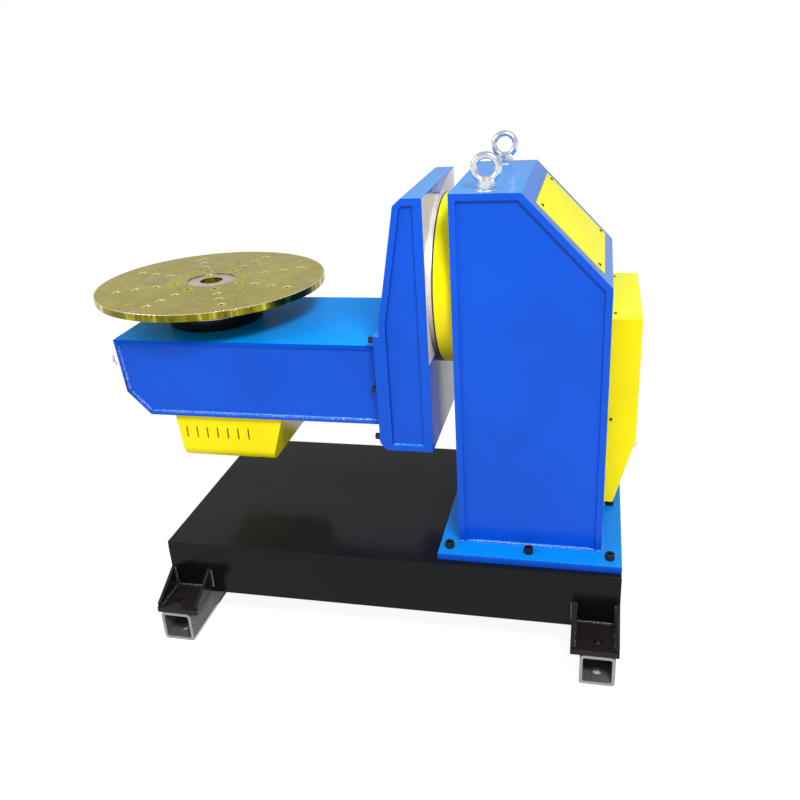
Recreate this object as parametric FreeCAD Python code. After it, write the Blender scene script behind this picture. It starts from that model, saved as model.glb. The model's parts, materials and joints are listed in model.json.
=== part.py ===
import FreeCAD, Part
import math
import os

# Two-axis L-type welding positioner, in millimetres.
# Frame: +Z up, +X from the faceplate side towards the column, origin on the floor
# under the middle of the plinth. The tilt axis runs along X, the faceplate turns about Z.

os.makedirs("parts", exist_ok=True)
V = FreeCAD.Vector
X, Y, Z = V(1, 0, 0), V(0, 1, 0), V(0, 0, 1)

# ---------------------------------------------------------------- driving dimensions
# plinth and feet
BASE_LENGTH, BASE_DEPTH, PLINTH_HEIGHT = 1560.0, 814.0, 200.0
BASE_TOP_PLATE, BASE_WALL = 20.0, 12.0
TUBE, TUBE_WALL, FOOT_REACH = 110.0, 10.0, 140.0
TUBE_INSET = 10.0
ANCHOR_PLATE, ANCHOR_WIDTH, ANCHOR_HOLE_R, ANCHOR_REACH = 20.0, 150.0, 14.0, 88.0
GUSSET, GUSSET_RISE = 12.0, 78.0

# column
FLANGE_X0, FLANGE_HALF, FLANGE = 190.0, 382.0, 24.0
COLUMN_X0, COLUMN_X1, COLUMN_HALF = 251.0, 716.0, 305.0
COLUMN_TOP, CHAMFER_X, CHAMFER_Z = 1487.0, 457.0, 1215.0
COLUMN_PLATE, SIDE_PLATE, SIDE_RECESS = 20.0, 14.0, 10.0
COLUMN_EYE_X, COLUMN_EYE_Y, EYE_BOSS = 353.0, 246.0, 16.0

# sheet covers
SHEET = 3.0
COVER_START, COVER_LENGTH, COVER_HALF = 52.0, 284.0, 248.0
REAR_OUT, REAR_TOP, REAR_KINK, REAR_FOOT, REAR_HALF = 805.0, 1109.0, 716.0, 490.0, 250.0
REAR_FOOT_OUT, REAR_LOCK_DROP = 28.0, 26.0
REAR_LIP_Z, REAR_LIP_Y = 478.0, (-200.0, 200.0)
REAR_SCREW_X = COLUMN_X1 + 11.0
TRAY_X0, TRAY_X1, TRAY_HALF = -756.0, -358.0, 238.0
TRAY_BOTTOM, TRAY_FOOT_X0, TRAY_FOOT_X1 = 558.0, -742.0, -413.0

# tilt bearing and drive
TILT_Z = 1160.0
RING_R, FLANGE_BORE_R, TILT_FLANGE, FLANGE_SUNK = 275.0, 130.0, 22.0, 8.0
BALL_PITCH_R, BALL_R, BALL_X, BALL_COUNT = 213.5, 12.0, 220.0, 43
OUTER_RING_X, OUTER_RING_R, SEAT_R = 199.0, 261.0, 255.0
OUTER_BOLT_R, INNER_BOLT_R, UPRIGHT_BOLT_R = 241.0, 196.0, 233.0
TILT_MODULE, TILT_RING_TEETH, TILT_PINION_TEETH = 6.0, 58, 15
SEAT_PLATE, PILOT_R = 25.0, 65.0

# upright of the arm
UP_X0, UP_X1, UP_HALF = 18.0, 172.0, 288.0
UP_BOTTOM, UP_TOP = 656.0, 1474.0
UP_FACE, UP_PLATE = 25.0, 20.0
JOINT_FLANGE, JOINT_TOP, JOINT_HEEL = 22.0, 1051.0, 683.0

# beam of the arm
BEAM_X0, BEAM_HALF = -930.0, 256.0
BEAM_BOTTOM, BEAM_TOP = 734.0, 1009.0
BEAM_PLATE, BEAM_RECESS = 12.0, 6.0
MOTOR_WINDOW = (-730.0, -380.0, 190.0)
ARM_EYE_Z, ARM_EYE_Y = 924.0, (-226.0, 226.0)

# faceplate and its drive
TABLE_X, TABLE_R, TABLE_THICK, TABLE_TOP = -660.0, 400.0, 25.0, 1149.0
TABLE_HOLE_RADII = (190.0, 260.0, 325.0)
TABLE_BOLT_R, TABLE_ROWS, TABLE_ROW_START = 125.0, 8, -15.0
CENTRE_BORE_R, CENTRE_RECESS_R, CENTRE_RECESS = 40.0, 85.0, 3.0
TABLE_MODULE, TABLE_RING_TEETH, TABLE_PINION_TEETH = 4.0, 52, 16
RISER_R, RISER_HEIGHT, RISER_FLOOR = 165.0, 40.0, 14.0
TABLE_BALL_R, TABLE_BALL_PITCH, TABLE_BALL_COUNT = 8.0, 135.0, 40

# fits
BALL_FIT = 0.05
RUNNING_FIT = 0.05
TOOTH_PLAY = 0.45

# ---------------------------------------------------------------- levels worked out from them
PLINTH_Z = TUBE
BASE_Z = TUBE + PLINTH_HEIGHT
FLANGE_Z = BASE_Z + FLANGE
HALF_LENGTH, HALF_DEPTH = BASE_LENGTH / 2, BASE_DEPTH / 2
FOOT_Y = HALF_DEPTH + FOOT_REACH
TILT_FLANGE_X0 = UP_X1 - FLANGE_SUNK
TILT_FLANGE_X = TILT_FLANGE_X0 + TILT_FLANGE
TILT_PINION_Z = TILT_Z - TILT_MODULE * (TILT_RING_TEETH - TILT_PINION_TEETH) / 2
TABLE_PINION_X = TABLE_X + TABLE_MODULE * (TABLE_RING_TEETH - TABLE_PINION_TEETH) / 2
RISER_TOP = BEAM_TOP + RISER_HEIGHT
TABLE_BALL_Z = RISER_TOP + 22.0
TABLE_RING_Z = RISER_TOP + 4.0
HUB_Z = TABLE_TOP - TABLE_THICK - 25.0


# ---------------------------------------------------------------- helpers
def box(x0, x1, y0, y1, z0, z1):
    return Part.makeBox(x1 - x0, y1 - y0, z1 - z0, V(x0, y0, z0))


def rod(radius, start, axis, length):
    return Part.makeCylinder(radius, length, start, axis)


def tube(outer, inner, start, axis, length):
    return rod(outer, start, axis, length).cut(rod(inner, start, axis, length))


def prism_xz(points, y0, y1):
    """Solid with a profile in X and Z, reaching from y0 to y1."""
    wire = Part.makePolygon([V(x, y0, z) for x, z in points] + [V(points[0][0], y0, points[0][1])])
    return Part.Face(wire).extrude(V(0, y1 - y0, 0))


def prism_yz(points, x0, x1):
    """Solid with a profile in Y and Z, reaching from x0 to x1."""
    wire = Part.makePolygon([V(x0, y, z) for y, z in points] + [V(x0, points[0][0], points[0][1])])
    return Part.Face(wire).extrude(V(x1 - x0, 0, 0))


def on_circle(centre, axis, radius, count, start=0.0):
    """Points on a circle about axis; start is in degrees, from +Y about X and from +X about Z."""
    points = []
    for i in range(count):
        turn = math.radians(start + 360.0 * i / count)
        a, b = radius * math.cos(turn), radius * math.sin(turn)
        points.append(centre + (V(0, a, b) if axis == X else V(a, b, 0)))
    return points


def cut_all(shape, tools):
    return shape.cut(Part.makeCompound(tools)) if tools else shape


def rounded(shape, radius, test):
    """Round the straight edges whose middle passes the test."""
    edges = [e for e in shape.Edges if test(e.CenterOfMass, e)]
    return shape.makeFillet(radius, edges) if edges else shape


def inset(points, thicknesses):
    """Inner corners of an open strip of plates bent along points, one thickness a plate."""
    lines = []
    for (a, b), t in zip(zip(points, points[1:]), thicknesses):
        length = math.hypot(b[0] - a[0], b[1] - a[1])
        nx, nz = (b[1] - a[1]) / length, -(b[0] - a[0]) / length
        lines.append(((a[0] + nx * t, a[1] + nz * t), (b[0] + nx * t, b[1] + nz * t)))
    corners = [lines[0][0]]
    for (a, b), (c, d) in zip(lines, lines[1:]):
        ux, uz, wx, wz = b[0] - a[0], b[1] - a[1], d[0] - c[0], d[1] - c[1]
        k = ((c[0] - a[0]) * wz - (c[1] - a[1]) * wx) / (ux * wz - uz * wx)
        corners.append((a[0] + k * ux, a[1] + k * uz))
    return corners + [lines[-1][1]]


def strip(points, thicknesses, half):
    """Welded plates along points, mitred at their corners, each as its own solid."""
    inner = inset(points, thicknesses)
    return [prism_xz([points[i], points[i + 1], inner[i + 1], inner[i]], -half, half)
            for i in range(len(points) - 1)]


def cap_screw(seat, axis, size, length, head=True):
    """Socket-head cap screw; seat is under the head and axis points to the tip."""
    screw = rod(size / 2, seat, axis, length)
    if head:
        head_r, head_h = size * 0.75, size
        cap = rod(head_r, seat - axis * head_h, axis, head_h)
        socket = hexagon(size * 0.43, seat - axis * head_h, axis, size * 0.5)
        screw = screw.fuse(cap.cut(socket)).removeSplitter()
    return screw


def hexagon(radius, start, axis, depth):
    side = Z if axis in (X, X * -1) else X
    other = axis.cross(side)
    corners = []
    for i in range(7):
        turn = math.radians(60.0 * i)
        corners.append(start + side * (radius * math.cos(turn)) + other * (radius * math.sin(turn)))
    return Part.Face(Part.makePolygon(corners)).extrude(axis * depth)


def tooth_angle(radius, base_r, pitch_r, half_at_pitch):
    """Half angle of an involute tooth at a radius."""
    if radius <= base_r:
        radius = base_r
    def involute(r):
        pressure = math.acos(base_r / r)
        return math.tan(pressure) - pressure
    return half_at_pitch + involute(pitch_r) - involute(radius)


def gear_outline(module, teeth, tip_r, root_r, play, start_deg):
    """Corner points, as (angle, radius), of an involute gear with a tooth at start_deg."""
    pitch_r = module * teeth / 2
    base_r = pitch_r * math.cos(math.radians(20))
    half_at_pitch = math.pi / (2 * teeth) - play / (4 * pitch_r)
    low = max(root_r, base_r)
    steps = [low + (tip_r - low) * k / 5 for k in range(6)]
    flank = [(tooth_angle(r, base_r, pitch_r, half_at_pitch), r) for r in steps]
    if root_r < base_r:
        flank.insert(0, (flank[0][0], root_r))
    outline = []
    for i in range(teeth):
        middle = math.radians(start_deg) + 2 * math.pi * i / teeth
        outline += [(middle - a, r) for a, r in flank]
        outline += [(middle + a, r) for a, r in reversed(flank)]
    return outline


def gear_solid(outline, centre, axis, length):
    points = []
    for turn, r in outline:
        a, b = r * math.cos(turn), r * math.sin(turn)
        points.append(centre + (V(0, a, b) if axis == X else V(a, b, 0)))
    return Part.Face(Part.makePolygon(points + [points[0]])).extrude(axis * length)


def race(centre, axis, pitch_r, groove_r):
    return Part.makeTorus(pitch_r, groove_r, centre, axis)


def balls(centre, axis, pitch_r, radius, count):
    return [Part.makeSphere(radius, p) for p in on_circle(centre, axis, pitch_r, count)]


def eye_bolt(seat, axis, scale):
    """Lifting eye bolt, sizes as multiples of an M24 one; the ring stands in the XZ plane."""
    collar = rod(25 * scale, seat, axis, 12 * scale)
    shank = rod(12 * scale, seat - axis * (34 * scale), axis, 34 * scale)
    centre = seat + axis * (45 * scale)
    ring = Part.makeTorus(35 * scale, 10 * scale, centre, Y)
    neck = Part.makeCone(22 * scale, 13 * scale, 12 * scale, seat + axis * (8 * scale), axis)
    neck = neck.cut(rod(25 * scale, centre - Y * 40 * scale, Y, 80 * scale))
    return shank.fuse([collar, neck, ring]).removeSplitter()


def save(name, *solids):
    shape = solids[0] if len(solids) == 1 else Part.makeCompound(list(solids))
    assert shape.isValid(), name
    shape.exportStep("parts/%s.step" % name)


# ---------------------------------------------------------------- plinth and feet
def make_plinth():
    column_holes = [rod(11, V(x, y, PLINTH_Z), Z, PLINTH_HEIGHT) for x, y in column_bolt_places()]
    top = box(-HALF_LENGTH, HALF_LENGTH, -HALF_DEPTH, HALF_DEPTH, BASE_Z - BASE_TOP_PLATE, BASE_Z)
    top = rounded(top, 4, lambda c, e: abs(c.z - BASE_Z) < 1 or abs(c.z - BASE_Z + 10) < 1)
    save("base_top_plate", cut_all(top, column_holes))

    low, high = PLINTH_Z, BASE_Z - BASE_TOP_PLATE
    inside_x, inside_y = HALF_LENGTH - BASE_WALL, HALF_DEPTH - BASE_WALL
    walls = [box(-HALF_LENGTH, HALF_LENGTH, side * inside_y, side * HALF_DEPTH, low, high) if side > 0
             else box(-HALF_LENGTH, HALF_LENGTH, -HALF_DEPTH, -inside_y, low, high) for side in (-1, 1)]
    walls += [box(-HALF_LENGTH, -inside_x, -inside_y, inside_y, low, high),
              box(inside_x, HALF_LENGTH, -inside_y, inside_y, low, high)]
    save("base_side_plates", *walls)

    bar = 30.0
    ribs = [box(x - 6, x + 6, -inside_y, inside_y, low, high - bar) for x in (-420.0, -60.0)]
    ribs += [box(x - 6, x + 6, -inside_y, inside_y, low, high - bar) for x in (300.0, 660.0)]
    bars = [box(FLANGE_X0, inside_x, y - 30, y + 30, high - bar, high) for y in (-340.0, 340.0)]
    bars += [box(x - 24, x + 24, -310, 310, high - bar, high) for x in (225.0, 742.0)]
    taps = [rod(10, V(x, y, PLINTH_Z), Z, PLINTH_HEIGHT) for x, y in column_bolt_places()]
    save("base_stiffeners", *ribs, *[cut_all(b, taps) for b in bars])


def column_bolt_places():
    corner_x = (225.0, 484.5, 742.0)
    return [(x, y) for x in corner_x for y in (-340.0, 340.0)] + [(225.0, 0.0), (742.0, 0.0)]


def anchor_places():
    x = HALF_LENGTH - TUBE_INSET - TUBE / 2
    y = HALF_DEPTH + ANCHOR_REACH
    return [(sx * x, sy * y) for sx in (-1, 1) for sy in (-1, 1)]


def make_feet():
    holes = [rod(ANCHOR_HOLE_R, V(x, y, -1), Z, TUBE + ANCHOR_PLATE + 2) for x, y in anchor_places()]
    tubes = []
    for side in (-1, 1):
        near = side * (HALF_LENGTH - TUBE_INSET)
        x0, x1 = min(near, near - side * TUBE), max(near, near - side * TUBE)
        outer = box(x0, x1, -FOOT_Y, FOOT_Y, 0, TUBE)
        outer = rounded(outer, 15, lambda c, e: abs(c.y) < 1)
        w = TUBE_WALL
        inner = box(x0 + w, x1 - w, -FOOT_Y - 1, FOOT_Y + 1, w, TUBE - w)
        inner = rounded(inner, 6, lambda c, e: abs(c.y) < 1)
        tubes.append(cut_all(outer.cut(inner), holes))
    save("fork_tubes", *tubes)

    plates, gussets = [], []
    for sx in (-1, 1):
        out = sx * HALF_LENGTH
        x0, x1 = min(out, out - sx * ANCHOR_WIDTH), max(out, out - sx * ANCHOR_WIDTH)
        for sy in (-1, 1):
            wall, tip = sy * HALF_DEPTH, sy * FOOT_Y
            z0, z1 = TUBE, TUBE + ANCHOR_PLATE
            plates.append(cut_all(box(x0, x1, min(wall, tip), max(wall, tip), z0, z1), holes))
            profile = [(wall, z1), (wall, z1 + GUSSET_RISE), (tip - sy * 6, z1 + 12), (tip - sy * 6, z1)]
            gussets += [prism_yz(profile, x, x + GUSSET) for x in (x0, x1 - GUSSET)]
    save("anchor_plates", *plates)
    save("foot_gussets", *gussets)


# ---------------------------------------------------------------- column
COLUMN_LINE = [(COLUMN_X0, FLANGE_Z), (COLUMN_X0, COLUMN_TOP), (CHAMFER_X, COLUMN_TOP),
               (COLUMN_X1, CHAMFER_Z), (COLUMN_X1, FLANGE_Z)]
CHAMFER_RUN = math.hypot(COLUMN_X1 - CHAMFER_X, COLUMN_TOP - CHAMFER_Z)
CHAMFER_DIR = V((COLUMN_X1 - CHAMFER_X) / CHAMFER_RUN, 0, (CHAMFER_Z - COLUMN_TOP) / CHAMFER_RUN)
CHAMFER_OUT = V(-CHAMFER_DIR.z, 0, CHAMFER_DIR.x)


def chamfer_block(start, length, half, low, high):
    """Block lying on the chamfer plate, from start along the slope, low to high above it."""
    corner = V(CHAMFER_X, 0, COLUMN_TOP) + CHAMFER_DIR * start
    a, b = corner + CHAMFER_OUT * low, corner + CHAMFER_OUT * high
    c, d = b + CHAMFER_DIR * length, a + CHAMFER_DIR * length
    return prism_xz([(p.x, p.z) for p in (a, b, c, d)], -half, half)


def chamfer_points():
    start = V(CHAMFER_X, 0, COLUMN_TOP)
    return [start + CHAMFER_DIR * s + Y * y for s in (COVER_START + 22, COVER_START + COVER_LENGTH - 22)
            for y in (-COVER_HALF + 30, COVER_HALF - 30)]


def make_column():
    hole_tools = [rod(11, V(x, y, BASE_Z - 1), Z, FLANGE + 2) for x, y in column_bolt_places()]
    plate = box(FLANGE_X0, HALF_LENGTH, -FLANGE_HALF, FLANGE_HALF, BASE_Z, FLANGE_Z)
    plate = rounded(plate, 3, lambda c, e: abs(c.z - FLANGE_Z) < 1)
    hand_hole = box(330, 640, -150, 150, BASE_Z - 1, FLANGE_Z + 1)
    save("column_flange", cut_all(plate, hole_tools + [hand_hole]))
    save("column_bolts", *[cap_screw(V(x, y, FLANGE_Z), Z * -1, 20, 70) for x, y in column_bolt_places()])

    front, top, chamfer, back = strip(COLUMN_LINE, [COLUMN_PLATE] * 4, COLUMN_HALF)
    front = front.cut(rod(170, V(COLUMN_X0 - 1, 0, TILT_Z), X, 40))
    front = cut_all(front, [rod(7, p, X, 40) for p in ring_bolt_points(COLUMN_X0 - 1)])
    eyes = eye_places()
    top = cut_all(top, [rod(12, V(x, y, COLUMN_TOP - 30), Z, 40) for x, y in eyes])
    chamfer = chamfer.cut(chamfer_block(COVER_START + 40, COVER_LENGTH - 80, COVER_HALF - 55, -40, 5))
    chamfer = cut_all(chamfer, [rod(3, p - CHAMFER_OUT * 30, CHAMFER_OUT, 40) for p in chamfer_points()])
    back = back.cut(box(COLUMN_X1 - 40, COLUMN_X1 + 1, -215, 215, 530, 1094))
    back = cut_all(back, [rod(3, V(COLUMN_X1 - 30, y, REAR_LIP_Z), X, 40) for y in REAR_LIP_Y])
    save("column_front_plate", front)
    save("column_top_plate", top.fuse(chamfer).removeSplitter())
    save("column_back_plate", back)

    inner = inset(COLUMN_LINE, [COLUMN_PLATE] * 4)
    depth = COLUMN_HALF - SIDE_RECESS
    save("column_side_plates", prism_xz(inner, -depth, -depth + SIDE_PLATE),
         prism_xz(inner, depth - SIDE_PLATE, depth))

    spacers = [tube(28, 12, V(x, y, COLUMN_TOP), Z, EYE_BOSS) for x, y in eyes]
    bolts = [eye_bolt(V(x, y, COLUMN_TOP + EYE_BOSS), Z, 1.0) for x, y in eyes]
    save("column_lifting_eyes", *bolts, *spacers)

    cover = chamfer_block(COVER_START, COVER_LENGTH, COVER_HALF, 0, 3)
    cover = cut_all(cover, [rod(3, p, CHAMFER_OUT, 10) for p in chamfer_points()])
    save("access_cover", cover)


def button_screw(seat, axis, size, length):
    """Low round-headed screw with a hexagon socket."""
    head = Part.makeCone(size, size * 0.65, size * 0.55, seat, axis * -1)
    side = axis.cross(Y)
    corners = [seat - axis * size + side * (size * 0.4 * math.cos(math.radians(60 * i)))
               + Y * (size * 0.4 * math.sin(math.radians(60 * i))) for i in range(7)]
    socket = Part.Face(Part.makePolygon(corners)).extrude(axis * size * 0.8)
    return rod(size / 2, seat, axis, length).fuse(head.cut(socket)).removeSplitter()


def eye_places():
    return [(COLUMN_EYE_X, -COLUMN_EYE_Y), (COLUMN_EYE_X, COLUMN_EYE_Y)]


def make_rear_cover():
    outer = [(COLUMN_X1, REAR_FOOT), (COLUMN_X1, REAR_TOP), (REAR_OUT, REAR_TOP),
             (REAR_OUT, REAR_KINK), (COLUMN_X1 + REAR_FOOT_OUT, REAR_FOOT)]
    shell = prism_xz(outer, -REAR_HALF, REAR_HALF)
    shell = rounded(shell, 3, lambda c, e: c.x > COLUMN_X1 + 1)
    inner = inset(outer[1:], [SHEET] * 3)
    low = REAR_FOOT + SHEET
    slope = (inner[-1][0] - inner[-2][0]) / (inner[-1][1] - inner[-2][1])
    foot_x = inner[-2][0] + slope * (low - inner[-2][1])
    cavity = [(COLUMN_X1 - 1, low), (COLUMN_X1 - 1, inner[0][1]), inner[1], inner[2], (foot_x, low)]
    shell = shell.cut(prism_xz(cavity, -REAR_HALF + SHEET, REAR_HALF - SHEET))
    lip = box(COLUMN_X1, COLUMN_X1 + SHEET, -REAR_HALF + 20, REAR_HALF - 20, REAR_FOOT - 26, REAR_FOOT + 2)
    shell = shell.fuse(lip).removeSplitter()
    side_z = (784.0,)
    holes = [rod(2.5, V(REAR_SCREW_X, sy * (REAR_HALF + 1), z), Y * -sy, 10)
             for sy in (-1, 1) for z in side_z]
    holes += [rod(2.5, V(REAR_SCREW_X, y, REAR_TOP + 1), Z * -1, 10) for y in REAR_LIP_Y]
    holes += [rod(3, V(COLUMN_X1 - 1, y, REAR_LIP_Z), X, 10) for y in REAR_LIP_Y]
    along = V(COLUMN_X1 + REAR_FOOT_OUT - REAR_OUT, 0, REAR_FOOT - REAR_KINK).normalize()
    out = V(-along.z, 0, along.x)
    lock_at = V(REAR_OUT, -REAR_HALF + 22, REAR_KINK) + along * REAR_LOCK_DROP - out * SHEET
    holes.append(rod(7, lock_at - out * 5, out, 20))
    save("rear_cover", cut_all(shell, holes))

    frame_half = REAR_HALF - SHEET
    frame = [box(COLUMN_X1, COLUMN_X1 + 22, sy * frame_half - (5 if sy > 0 else 0),
                 sy * frame_half + (0 if sy > 0 else 5), REAR_FOOT + 10, REAR_TOP - 12) for sy in (-1, 1)]
    frame.append(box(COLUMN_X1, COLUMN_X1 + 22, -230, 230, REAR_TOP - SHEET - 5, REAR_TOP - SHEET))
    taps = [rod(2.5, V(REAR_SCREW_X, sy * (REAR_HALF + 1), z), Y * -sy, 20) for sy in (-1, 1) for z in side_z]
    taps += [rod(2.5, V(REAR_SCREW_X, y, REAR_TOP + 1), Z * -1, 20) for y in REAR_LIP_Y]
    save("rear_cover_frame", *[cut_all(f, taps) for f in frame])

    screws = [pan_screw(V(REAR_SCREW_X, sy * REAR_HALF, z), Y * -sy, 5, 9) for sy in (-1, 1) for z in side_z]
    screws += [pan_screw(V(REAR_SCREW_X, y, REAR_TOP), Z * -1, 5, 9) for y in REAR_LIP_Y]
    screws += [pan_screw(V(COLUMN_X1 + SHEET, y, REAR_LIP_Z), X * -1, 6, 15) for y in REAR_LIP_Y]
    screws += [button_screw(p + CHAMFER_OUT * SHEET, CHAMFER_OUT * -1, 6, 18) for p in chamfer_points()]
    save("cover_screws", *screws)
    lock = rod(7, lock_at - out * 12, out, 15 + SHEET).fuse(rod(10, lock_at + out * SHEET, out, 4))
    grip = [lock_at + out * n + along * m for n, m in ((6, -8), (14, -8), (14, 8), (6, 8))]
    lock = lock.fuse(prism_xz([(p.x, p.z) for p in grip], lock_at.y - 2, lock_at.y + 2))
    save("rear_cover_lock", lock.removeSplitter())


def pan_screw(seat, axis, size, length):
    """Round-headed machine screw with a cross slot."""
    head = Part.makeCone(size * 0.95, size * 0.7, size * 0.6, seat, axis * -1)
    side = axis.cross(Z) if abs(axis.z) < 0.5 else axis.cross(X)
    other = axis.cross(side)
    top = seat - axis * size * 0.6
    for u, w in ((side, other), (other, side)):
        a, b = u * size * 0.5, w * size * 0.1
        slot = Part.Face(Part.makePolygon([top + a + b, top + a - b, top - a - b, top - a + b, top + a + b]))
        head = head.cut(slot.extrude(axis * size * 0.3))
    return rod(size / 2, seat, axis, length).fuse(head).removeSplitter()


# ---------------------------------------------------------------- tilt bearing and drive
def ring_bolt_points(x):
    return on_circle(V(x, 0, TILT_Z), X, OUTER_BOLT_R, 24, 7.5)


def make_tilt_bearing():
    centre = V(BALL_X, 0, TILT_Z)
    groove = race(centre, X, BALL_PITCH_R, BALL_R + BALL_FIT)
    outer = tube(OUTER_RING_R, BALL_PITCH_R + 1.5, V(OUTER_RING_X, 0, TILT_Z), X, COLUMN_X0 - OUTER_RING_X)
    outer = outer.cut(groove)
    outer = cut_all(outer, [rod(7, p, X, 60) for p in ring_bolt_points(OUTER_RING_X - 1)])
    outer = cut_all(outer, [rod(10.6, p, X, 16) for p in ring_bolt_points(OUTER_RING_X - 1)])
    save("tilt_bearing_outer_ring", outer)

    width = COLUMN_X0 - 6 - TILT_FLANGE_X
    inner = rod(BALL_PITCH_R - 1.5, V(TILT_FLANGE_X, 0, TILT_Z), X, width).cut(groove)
    pitch_r = TILT_MODULE * TILT_RING_TEETH / 2
    space = gear_outline(TILT_MODULE, TILT_RING_TEETH, pitch_r + 1.25 * TILT_MODULE,
                         pitch_r - 0.68 * TILT_MODULE, 0, -90)
    inner = inner.cut(gear_solid(space, V(TILT_FLANGE_X, 0, TILT_Z), X, width))
    inner_bolts = on_circle(V(TILT_FLANGE_X, 0, TILT_Z), X, INNER_BOLT_R, 16)
    inner = cut_all(inner, [rod(6, p, X, 16) for p in inner_bolts])
    save("tilt_bearing_gear_ring", inner)
    save("tilt_bearing_balls", *balls(centre, X, BALL_PITCH_R, BALL_R, BALL_COUNT))

    flange = tube(RING_R, FLANGE_BORE_R, V(TILT_FLANGE_X0, 0, TILT_Z), X, TILT_FLANGE)
    flange = rounded(flange, 1.5, lambda c, e: e.Length > 1500)
    seats = on_circle(V(TILT_FLANGE_X0, 0, TILT_Z), X, INNER_BOLT_R, 16)
    flange = cut_all(flange, [rod(6, p, X, 30) for p in seats] + [rod(9.2, p, X, 12.1) for p in seats])
    upright_bolts = on_circle(V(UP_X1 - UP_FACE, 0, TILT_Z), X, UPRIGHT_BOLT_R, 12, 15)
    flange = cut_all(flange, [rod(8, p, X, UP_FACE + 10) for p in upright_bolts])
    save("tilt_flange", flange)
    screws = [cap_screw(p + X * 12.1, X, 12, 24) for p in seats]
    screws += [cap_screw(p, X, 16, UP_FACE + 8) for p in upright_bolts]
    save("tilt_flange_bolts", *screws)

    guard = tube(RING_R, RING_R - 5, V(TILT_FLANGE_X + 3, 0, TILT_Z), X, COLUMN_X0 - TILT_FLANGE_X - 3)
    guard = guard.fuse(tube(RING_R - 5, OUTER_RING_R + 3, V(COLUMN_X0 - 6, 0, TILT_Z), X, 6)).removeSplitter()
    save("tilt_guard_ring", guard)


def make_tilt_drive():
    seat_x = COLUMN_X0 + COLUMN_PLATE
    seat = rod(SEAT_R, V(seat_x, 0, TILT_Z), X, SEAT_PLATE)
    axis_at = V(0, 0, TILT_PINION_Z)
    seat = seat.cut(rod(PILOT_R, axis_at + X * seat_x, X, SEAT_PLATE))
    seat = seat.cut(rod(55, V(seat_x, 0, TILT_Z + 60), X, SEAT_PLATE))
    seat = cut_all(seat, [rod(7, p, X, SEAT_PLATE + 2) for p in ring_bolt_points(seat_x - 1)])
    fixings = on_circle(axis_at + X * seat_x, X, 84, 8, 22.5)
    seat = cut_all(seat, [rod(5, p, X, SEAT_PLATE) for p in fixings])
    save("bearing_seat_plate", seat)

    back_x = seat_x + SEAT_PLATE
    body = rod(PILOT_R, axis_at + X * (back_x - 15), X, 15)
    body = body.fuse([rod(100, axis_at + X * back_x, X, 18), rod(75, axis_at + X * (back_x + 18), X, 142)])
    body = body.cut(rod(36, axis_at + X * (back_x - 16), X, 40))
    body = body.cut(rod(22, axis_at + X * (back_x - 16), X, 177))
    body = cut_all(body, [rod(5, p + X * SEAT_PLATE, X, 18) for p in fixings])
    save("tilt_gearbox", body.removeSplitter())
    screws = [cap_screw(p + X * (SEAT_PLATE + 18), X * -1, 10, 38) for p in fixings]
    screws += [cap_screw(p, X, 14, 77) for p in ring_bolt_points(OUTER_RING_X + 15)]
    save("tilt_drive_bolts", *screws)
    save("tilt_gearbox_bearing", tube(36, 20, axis_at + X * (back_x - 12), X, 30))

    pitch_r = TILT_MODULE * TILT_PINION_TEETH / 2
    teeth = gear_outline(TILT_MODULE, TILT_PINION_TEETH, pitch_r + TILT_MODULE,
                         pitch_r - 1.25 * TILT_MODULE, TOOTH_PLAY, -90)
    pinion = gear_solid(teeth, V(199, 0, TILT_PINION_Z), X, 42)
    stem = rod(20 - RUNNING_FIT, V(199, 0, TILT_PINION_Z), X, back_x + 60 - 199)
    save("tilt_pinion", pinion.fuse(stem).removeSplitter())

    motor_x = back_x + 160
    motor = box(motor_x, motor_x + 16, -90, 90, TILT_PINION_Z - 90, TILT_PINION_Z + 90)
    can = box(motor_x + 16, motor_x + 210, -80, 80, TILT_PINION_Z - 80, TILT_PINION_Z + 80)
    can = rounded(can, 20, lambda c, e: abs(c.x - motor_x - 113) < 1)
    tail = rod(60, axis_at + X * (motor_x + 210), X, 60)
    plug = box(motor_x + 150, motor_x + 195, -20, 20, TILT_PINION_Z + 80, TILT_PINION_Z + 118)
    motor = motor.fuse([can, tail, plug])
    motor = motor.cut(rod(62, axis_at + X * (motor_x + 20), X, 180))
    motor = motor.cut(rod(16 + RUNNING_FIT, axis_at + X * (motor_x - 1), X, 230))
    save("tilt_motor", motor.removeSplitter())
    rotor = rod(16, axis_at + X * (motor_x - 60), X, 285).fuse(rod(58, axis_at + X * (motor_x + 40), X, 130))
    save("tilt_motor_rotor", rotor.removeSplitter())


# ---------------------------------------------------------------- arm: upright and beam
UPRIGHT_LINE = [(UP_X0, UP_BOTTOM), (UP_X0, 1087.0), (84.0, 1452.0), (109.0, UP_TOP), (UP_X1, UP_TOP)]


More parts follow.
